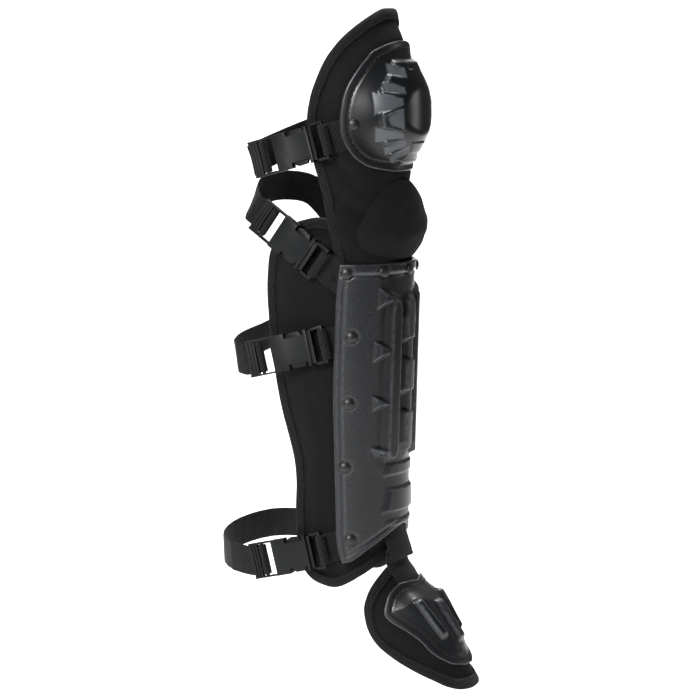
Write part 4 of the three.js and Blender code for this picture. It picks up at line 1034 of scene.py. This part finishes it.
# Knee roll: a plump cushion of the same matt black cloth over soft foam. It is sewn down to the
# knee pad all round, between the cap and the shin shell.
ROLL_SIDES = (
    (0, 0.39), (0.06, 0.625), (0.13, 0.857), (0.26, 0.973), (0.37, 1), (0.54, 0.876), (0.78, 0.662),
    (0.876, 0.528), (0.98, 0.244), (1, 0.1),
)
roll_s, roll_z, roll_inset = outline_grid(93, 75, ROLL_SIDES, 56.6, (0, 1, 2.2, 4, 6.5, 10), 22, 32)
roll_plump = np.clip(roll_inset / 25, 0, 1) ** 0.72
roll_face = 1.2 + 15.3 * roll_plump + 0.9 * folds(roll_s, roll_z, 30, 11) * roll_plump
knee_roll = slab_piece("knee_roll_cushion", on_leg, roll_s, roll_z, roll_face, 0.6)
swell(knee_roll, np.concatenate([(roll_inset < 1.5).ravel(), np.ones(roll_s.size, bool)]), 3, 1.5)
knee_roll.modifiers.new("rounding", "SUBSURF").render_levels = 1
knee_roll.modifiers["rounding"].levels = 1
finished(knee_roll, cloth, "fabric", "knee_roll")

# Foot shell: 2.5 thick plastic arched over the instep, with a sewn flange, a low rise inside it
# and three rounded ridges that run down its slope.
FOOT_SHELL_SIDES = (
    (0, 0.12), (0.06, 0.363), (0.152, 0.523), (0.264, 0.639), (0.415, 0.705), (0.589, 0.843),
    (0.739, 0.982), (0.81, 1), (0.904, 0.86), (0.97, 0.66), (1, 0.44),
)
FOOT_RIDGES = (
    # middle at the toe end, middle at the instep end, half width, from, to
    (0, 0, 5.6, -84, -40),
    (-15, -20.5, 3.8, -74, -30),
    (15, 20.5, 3.8, -74, -30),
)


def foot_ridges(s, z):
    """Three rounded ridges: a smooth bell across each, tapering at both ends."""
    height = np.zeros_like(s)
    for toe, instep, half, low, high in FOOT_RIDGES:
        along = np.clip((z - low) / (high - low), 0, 1)
        side = np.abs(s - (toe + (instep - toe) * along)) / half
        ends = smooth_step(z, low - 2, low + 3) * (1 - smooth_step(z, high - 3, high + 3))
        height = np.maximum(height, 4 * ends * (1 - smooth_step(side, 0.55, 1.05)))
    return height


instep_s, instep_z, instep_inset = outline_grid(
    -107, 100, FOOT_SHELL_SIDES, 50.9, SHELL_EDGE, 84, 84, high=lambda side: 5.6 * (1 - side)
)
instep_rise = 6 * smooth_step(instep_inset, 6.5, 27)
instep_ridges = foot_ridges(instep_s, instep_z)
FOOT_SEAM = 6.4
instep_groove = 0.7 * np.exp(-(((instep_inset - FOOT_SEAM) / 0.9) ** 2))
instep_round = 0.7 * (1 - np.clip(instep_inset / 1.4, 0, 1)) ** 2
instep_face = 3.2 + instep_rise + instep_ridges - instep_groove - instep_round
foot_shell = slab_piece(
    "foot_shell_moulding", on_foot, instep_s, instep_z,
    instep_face, 0.7 + instep_rise + instep_ridges,
    # Crests and rim carry a pale mark: partly rubbed wear, partly a painted highlight.
    edge=edge_wear_and_highlight_mark(instep_ridges, instep_inset, 3),
    polish=0.2 + 0.4 * np.clip(instep_ridges / 3, 0, 1),
)
finished(foot_shell, moulded, "shell", "foot_shell")
instep_line, _ = seam_line(instep_s, instep_z, FOOT_SEAM)
instep_path = on_foot(instep_line[:, 0], instep_line[:, 1], 3.0)
instep_out = on_foot(instep_line[:, 0], instep_line[:, 1], 4.0) - instep_path
finished(stitched("foot_shell_seam", instep_path, instep_out, 5.0, 3.7, 0.5), thread, "shell")

# Rivets: small domed caps of black painted metal, pressed onto shanks that pass through the
# shells and hold them to the padding.
rivet_paint = plastic_finish(
    "rivet_paint", dark=(0.003, 0.003, 0.0035), light=(0.05, 0.05, 0.05),
    roughness=0.4, grain=1600, depth=0.00005, marked=False,
)
RIVET_PROFILE = (
    # out from its middle, above its seat
    (0.02, -2.2), (1.9, -2.2), (1.9, 0), (5, -0.2), (5.35, 0.15), (5.35, 0.6), (5.05, 1.05),
    (4.4, 1.55), (3.3, 2.1), (2, 2.45), (0.9, 2.6), (0.02, 2.65),
)


def rivets(name, places, face, nodes):
    """The profile turned round each place's outward direction, in 20 steps. The ends of the
    profile meet the axis, where a strip of quads closes them."""
    profile = np.array(RIVET_PROFILE)
    angle = np.arange(20) / 20 * 2 * math.pi
    origin = face(places[:, 0], places[:, 1])
    right_way = face(places[:, 0] + 0.5, places[:, 1]) - face(places[:, 0] - 0.5, places[:, 1])
    up = face(places[:, 0], places[:, 1] + 0.5) - face(places[:, 0], places[:, 1] - 0.5)
    out = unit(np.cross(right_way, up))
    right_way = unit(right_way)
    up = np.cross(out, right_way)
    round_it = np.cos(angle)[:, None] * right_way[:, None, :]
    round_it = round_it + np.sin(angle)[:, None] * up[:, None, :]
    points = (
        origin[:, None, None]
        + out[:, None, None] * (profile[:, 1] + 0.45)[:, None, None]
        + round_it[:, None] * profile[:, 0][:, None, None]
    )
    rings = len(profile)
    i, j = np.meshgrid(np.arange(rings - 1), np.arange(20), indexing="ij")
    i, j = i.ravel(), j.ravel()
    k = (j + 1) % 20
    one = np.stack([i * 20 + j, i * 20 + k, (i + 1) * 20 + k, (i + 1) * 20 + j], -1)
    m = np.arange(9)
    cap = np.stack([m, 19 - m, 18 - m, m + 1], -1)
    one = np.concatenate([one, cap, cap[:, ::-1] + (rings - 1) * 20])
    quads = (one[None] + rings * 20 * np.arange(len(places))[:, None, None]).reshape(-1, 4)
    piece = closed_piece(name, points.reshape(-1, 3), quads, np.zeros((len(quads), 4, 2)))
    finished(piece, rivet_paint, "rivet", *nodes)


shin_places = np.array([(0, 82.7)] + [(sign * s, z) for s, z in SHIN_RIVETS for sign in (-1, 1)])


def shell_surface(s, z):
    """The outer face of the shin shell, which stands higher along its top lip."""
    return on_leg(s, z, 3.9 + 0.9 * (z > 80))


rivets("shin_rivets", shin_places, shell_surface, [f"shin_rivet_{i}" for i in range(1, 14)])


def cap_surface(s, z):
    """The outer face of the knee cap."""
    dome, teeth, _ = cap_height(s, z)
    return on_leg(s, z, 4.7 + dome + teeth)


cap_places = np.array([(-57.5, 221.5), (57.5, 221.5)])
rivets("cap_rivets", cap_places, cap_surface, ["cap_rivet_1", "cap_rivet_2"])

# Webbing: black polyester, 29 wide and 1.6 thick. A tab is folded round each plug's bar and
# tucked under a shell; a strap is laced through each socket's ladder and runs behind the leg.
webbing_weave = cloth_finish(
    "webbing_weave", dark=(0.002, 0.002, 0.0024), light=(0.0175, 0.0175, 0.0185),
    across=420, along=760, slant=0.9, depth=0.0007, roughness=0.7, sheen=0.05,
)
BUCKLES = (
    # round, height, flare, pitch, tab run, lift
    (-80, 207.5, 6, -16, 24, 0),
    (-90, 89.3, 5, 36, 32, 0.8),
    (-83, 14.5, 14, -13.5, 16, 0),
    (-81, -186.1, 4, -14.5, 24, 0),
)
STRAPS = (
    # reach, exit run, exit drop, lift, free rows (across, back, rise), held rows (round, up)
    (
        76, 3, 0.8, 0,
        ((-1.06, 0.99, 0.06), (-0.5, 0.83, 0.38), (0.1, 0.64, 0.68), (0.72, 0.49, 0.92)),
        ((108, 130), (99, 129.5), (86, 129), (74, 128), (63, 126), (52, 124)),
    ),
    (
        84, 9, 0, 1.1,
        ((-0.96, 0.97, -0.25), (-0.45, 1.01, -0.62), (0.2, 0.98, -0.7), (0.78, 0.82, -0.36)),
        ((134, 30), (118, 21), (104, 13), (92, 4), (83, -4), (75, -11), (61, -22)),
    ),
    (
        98, 4, 1.1, 0,
        ((-1.28, 0.92, 0.1), (-0.85, 1.01, 0.35), (0.1, 1.03, 0.6), (0.85, 1.03, 0.9)),
        ((152, -76), (130, -76), (105, -76), (84, -76), (75, -76), (62, -76)),
    ),
    (
        136, 3, 0.8, 0,
        ((-0.98, 0.79, 0.1), (-0.5, 0.97, 0.25), (0.2, 1, 0.55), (0.84, 0.85, 0.85)),
        ((120, -281), (108, -280), (92, -279), (77, -278), (65, -277), (54, -276)),
    ),
)
BUCKLE_LENGTH, BUCKLE_THICKNESS = 79.5, 8
# The plug's bar: its lower face, and where it ends along the buckle. The ladder: its faces.
BAR_LOW, BAR_END = 1.4, 4
LADDER_LOW, LADDER_HIGH = 1.55, 5.4
# The gap between webbing and plastic, and half the webbing's thickness.
PIECE_GAP, HALF = 0.35, 0.8
STEPS = 18


def buckle_axes(round_leg, height, flare, pitch):
    """Where a buckle's tab end is, and its directions along, across and out."""
    turn, tip = math.radians(flare), math.radians(pitch)
    reach = math.cos(tip)
    along = np.array([-math.sin(turn) * reach, math.cos(turn) * reach, math.sin(tip)])
    out = np.array([-1.0, 0, 0])
    out = unit(out - along * out.dot(along))
    return on_leg(round_leg, height, 2.8), along, np.cross(out, along), out


def flowing(points, count):
    """Even points on a centripetal Catmull-Rom curve through the given ones."""
    points = np.concatenate([[2 * points[0] - points[1]], points, [2 * points[-1] - points[-2]]])
    t = np.linspace(0, 1, 40)[:, None]
    runs = []
    for p0, p1, p2, p3 in zip(points, points[1:], points[2:], points[3:]):
        d0, d1, d2 = (np.linalg.norm(b - a) ** 0.5 for a, b in ((p0, p1), (p1, p2), (p2, p3)))
        start = ((p1 - p0) / d0 - (p2 - p0) / (d0 + d1) + (p2 - p1) / d1) * d1
        end = ((p2 - p1) / d1 - (p3 - p1) / (d1 + d2) + (p3 - p2) / d2) * d1
        cubic = p1 + start * t + (3 * (p2 - p1) - 2 * start - end) * t**2
        runs.append((cubic + (2 * (p1 - p2) + start + end) * t**3)[:-1])
    path = np.concatenate([*runs, points[-2:-1]])
    run = np.concatenate([[0], np.cumsum(np.linalg.norm(np.diff(path, axis=0), axis=1))])
    at = np.linspace(0, run[-1], count + 1)
    return np.stack([np.interp(at, run, path[:, k]) for k in range(3)], -1)


def ribbon(name, path, across, node, width=29, thickness=1.6):
    """Flat webbing carried along a path: a rounded flat section spanned by the across
    direction and the face direction, which is the path's direction crossed with it."""
    path, across = resampled(path, 1.5, across)
    path, across = softened(path, 0.9), softened(across, 3)
    along = unit(np.gradient(path, axis=0))
    across = unit(across - along * (across * along).sum(-1, keepdims=True))
    face = np.cross(along, across)
    w, t = width / 2, thickness / 2
    side = np.array([-w, -w + 0.5, -w + 2, -w / 3, w / 3, w - 2, w - 0.5, w])
    rise = np.array([0.3, 0.85, 1, 1, 1, 1, 0.85, 0.3]) * t
    side, rise = np.concatenate([side, side[::-1]]), np.concatenate([rise, -rise])
    rings = path[:, None] + across[:, None] * side[:, None] + face[:, None] * rise[:, None]
    lengths = np.concatenate([[0], np.cumsum(np.linalg.norm(np.diff(path, axis=0), axis=1))])
    around = np.hypot(np.diff(side), np.diff(rise))
    widths = np.concatenate([[0], np.cumsum(around), [around.sum() + 1]])
    piece = finished(swept_piece(name, rings, lengths, widths), webbing_weave, "webbing", node)
    return piece


def lying(round_leg, height, depth):
    """Points of webbing that lies on the leg, and its across directions."""
    path = on_leg(round_leg, height, depth)
    out = on_leg(round_leg, height, np.asarray(depth) + 1.0) - path
    return path, unit(np.cross(out, np.gradient(path, axis=0)))


def tab_path(buckle, origin, along, out):
    """Along the leg from under the shell's edge, then round the plug's bar and back. The fold's
    places are along the buckle and out from it."""
    round_leg, height, flare, pitch, run, lift = buckle
    tip = math.radians(pitch)
    sunk = -HALF - PIECE_GAP - lift
    runs = np.array([run, run - 6, run - 12, 0.5])
    depth = np.array([sunk, sunk, sunk, -sunk])
    places, heights = round_leg + runs * math.cos(tip), height - runs * math.sin(tip)
    tucked, tucked_across = lying(places, heights, depth)
    low = BAR_LOW - PIECE_GAP - HALF
    high = BUCKLE_THICKNESS - BAR_LOW + PIECE_GAP + HALF
    inner = BAR_END + PIECE_GAP + HALF
    fold = (
        (1, low), (inner - 0.8, low), (inner, low + 1.2), (inner, high - 1.2), (inner - 0.8, high),
        (0.2, high), (-1.4, high - 1.8), (-1.6, low + 3.2),
    )
    return tucked, tucked_across, origin + np.array(fold, float) @ np.array([along, out])


def strap_path(strap, origin, along, across, out):
    """Through the ladder, in a free curve behind the leg, then along the leg on its far side.
    The laced places are along the buckle and out from it."""
    reach, exit_run, exit_drop, strap_lift, free, held = strap
    gap = PIECE_GAP + HALF
    under = LADDER_LOW - gap
    tail, over = under - 2 * HALF - PIECE_GAP, LADDER_HIGH + gap
    laced = (
        (BUCKLE_LENGTH - 1, tail), (65.5, tail), (64.5 - gap, tail + 1.6), (64.5 - gap, over - 1),
        (64.1, over), (67.7, over), (67.3 + gap, over - 1), (67.3 + gap, under + 0.9),
        (70.6, under), (BUCKLE_LENGTH, under),
    )
    ways = np.array([along, out])
    laced = origin + np.array(laced, float) @ ways
    leaving = origin + np.array([BUCKLE_LENGTH + exit_run, under - exit_drop]) @ ways
    far_end = SHELL_TOP + held[0][1]
    start = leaving[2]
    span = far_end - start
    loose = np.array([(x * KNEE_RADIUS, y * reach, start + span * rise) for x, y, rise in free])
    held = np.array(held, float)
    deep = np.full(len(held), HALF + PIECE_GAP + strap_lift + 0.2)
    deep[-2:] *= -1
    resting, resting_across = lying(held[:, 0], SHELL_TOP + held[:, 1], deep)
    behind = flowing(np.concatenate([[leaving], loose, resting[:2]]), STEPS)
    share = np.maximum(0, 1 - np.arange(STEPS + 1) / 5)[:, None]
    behind_across = np.array([0, 0, -1.0]) * (1 - share) + across * share
    path = np.concatenate([laced, behind, resting[2:]])
    laced_across = np.tile(across, (len(laced), 1))
    return path, np.concatenate([laced_across, behind_across, resting_across[2:]])


for number, (buckle, strap) in enumerate(zip(BUCKLES, STRAPS), 1):
    origin, along, across, out = buckle_axes(*buckle[:4])
    tucked, tucked_across, fold = tab_path(buckle, origin, along, out)
    fold_across = np.tile(across, (len(fold), 1))
    ribbon(f"tab_webbing_{number}", np.concatenate([tucked, fold]),
           np.concatenate([tucked_across, fold_across]), f"tab_{number}")
    path, path_across = strap_path(strap, origin, along, across, out)
    ribbon(f"strap_webbing_{number}", path, path_across, f"strap_{number}")

# Buckles: side-release, moulded in satin black plastic. Each solid keeps its shape and gets
# bevelled edges. They come out on plugs 1 and 4, hardly on plug 3 and the sockets, and not on
# plug 2, because a bevel is only as wide as the mesh leaves room for.
buckle_plastic = plastic_finish(
    "buckle_plastic", dark=(0.0022, 0.0028, 0.0034), light=(0.017, 0.0185, 0.021),
    roughness=0.46, grain=2600, depth=0.00004, marked=False,
)
buckle_plastic.node_tree.nodes["Principled BSDF"].inputs["Specular IOR Level"].default_value = 0.24


def rounded_copy(name, node, width, material, slot):
    """A copy of a solid with its doubled points joined, its flat faces whole again, and a
    two-step bevel asked for where an edge turns more than 30 degrees. The width is the most that
    it can have: Blender narrows all bevels of a mesh to what its shortest edge allows."""
    mesh = bpy.data.meshes.new(name)
    work = bmesh.new()
    work.from_mesh(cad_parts[node].data)
    bmesh.ops.remove_doubles(work, verts=work.verts, dist=2e-6)
    bmesh.ops.dissolve_limit(work, angle_limit=0.02, verts=work.verts, edges=work.edges)
    work.to_mesh(mesh)
    work.free()
    mesh.materials.clear()
    mesh.shade_smooth()
    piece = bpy.data.objects.new(name, mesh)
    bpy.context.scene.collection.objects.link(piece)
    bevel = piece.modifiers.new("rounded_edges", "BEVEL")
    bevel.width = width * 0.001
    bevel.segments = 2
    bevel.limit_method = "ANGLE"
    bevel.angle_limit = math.radians(30)
    bevel.harden_normals = True
    finished(piece, material, slot, node)


for number in range(1, 5):
    rounded_copy(f"plug_{number}", f"buckle_plug_{number}", 0.45, buckle_plastic, "buckle")
    rounded_copy(f"socket_{number}", f"buckle_socket_{number}", 0.35, buckle_plastic, "buckle")

# Hanger: wide webbing from under the shin shell's front, folded back on itself, and the foot
# strap behind it that holds up the foot guard from under the foot shell's top edge.
hanger_weave = cloth_finish(
    "hanger_weave", dark=(0.003, 0.003, 0.0034), light=(0.022, 0.022, 0.023),
    across=420, along=700, slant=0.8, depth=0.0007, roughness=0.8, sheen=0.05,
)


def bowed_ribbon(name, path, bows, width, node):
    """Wide webbing down the middle of the leg, 2.2 thick: each row lies back from its middle
    by its bow times the square of the share of the half width."""
    path, bows = resampled(path, 1.6, np.array(bows, float)[:, None])
    path, bows = softened(path, 1.3), softened(bows, 2)
    along = unit(np.gradient(path, axis=0))
    out = np.stack([np.zeros(len(path)), along[:, 2], -along[:, 1]], -1)
    bows = bows * softened(np.where(out[:, 1:2] > 0, -1.0, 1.0), 1.5)
    share = np.concatenate([[-1, -0.97], np.linspace(-0.85, 0.85, 15), [0.97, 1]])
    thin = 1.1 * np.where(np.abs(share) > 0.99, 0.35, 1)
    rim = []
    for side in (1, -1):
        lift = side * thin - bows * share**2
        points = path[:, None] + out[:, None] * lift[..., None]
        sideways = share[None, :, None] * width / 2 + 0 * lift[..., None]
        points = np.concatenate([sideways, points[..., 1:]], -1)
        rim.append(points if side > 0 else points[:, ::-1])
    rings = np.concatenate(rim, 1)
    lengths = np.concatenate([[0], np.cumsum(np.linalg.norm(np.diff(path, axis=0), axis=1))])
    widths = np.concatenate([share, 2.1 + share, [3.2]]) * width / 2
    piece = finished(swept_piece(name, rings, lengths, widths), hanger_weave, "webbing", node)


def bow_on(radius, width):
    """How far the edge of webbing falls back on a round form."""
    return radius * (1 - math.cos(width / 2 / radius))


HANGER_WIDTH, FOOT_STRAP_WIDTH = 44, 42
hanger_bow = bow_on(ANKLE_RADIUS, HANGER_WIDTH)
foot_bow = bow_on(INSTEP_RADIUS, FOOT_STRAP_WIDTH)
fold_rows = np.array([(1.2, 0), (2, 5), (2.1, 10), (1.65, 12.4), (1.15, 10), (1.1, 6)])
hanger_top, hanger_sunk = -150, -1.65
hanger_path = np.concatenate([
    on_leg(0, np.array([hanger_top, hanger_top - 16, hanger_top - 22]), hanger_sunk),
    np.stack([np.zeros(6), -50 - fold_rows[:, 0] * 2.55, -189 - fold_rows[:, 1]], -1),
])
bowed_ribbon("hanger_webbing", hanger_path, [hanger_bow] * 3 + [hanger_bow * 0.7] * 6,
             HANGER_WIDTH, "foot_hanger")
foot_path = np.concatenate([
    [(0, -49.6, -190), (0, -50, -197)],
    on_foot(0, np.array([11, 0, -12.6, -26.6]), np.array([-2, -0.8, -1.85, -1.85])),
])
bowed_ribbon("foot_strap_webbing", foot_path, [hanger_bow * 0.7] * 2 + [foot_bow] * 4,
             FOOT_STRAP_WIDTH, "foot_strap")
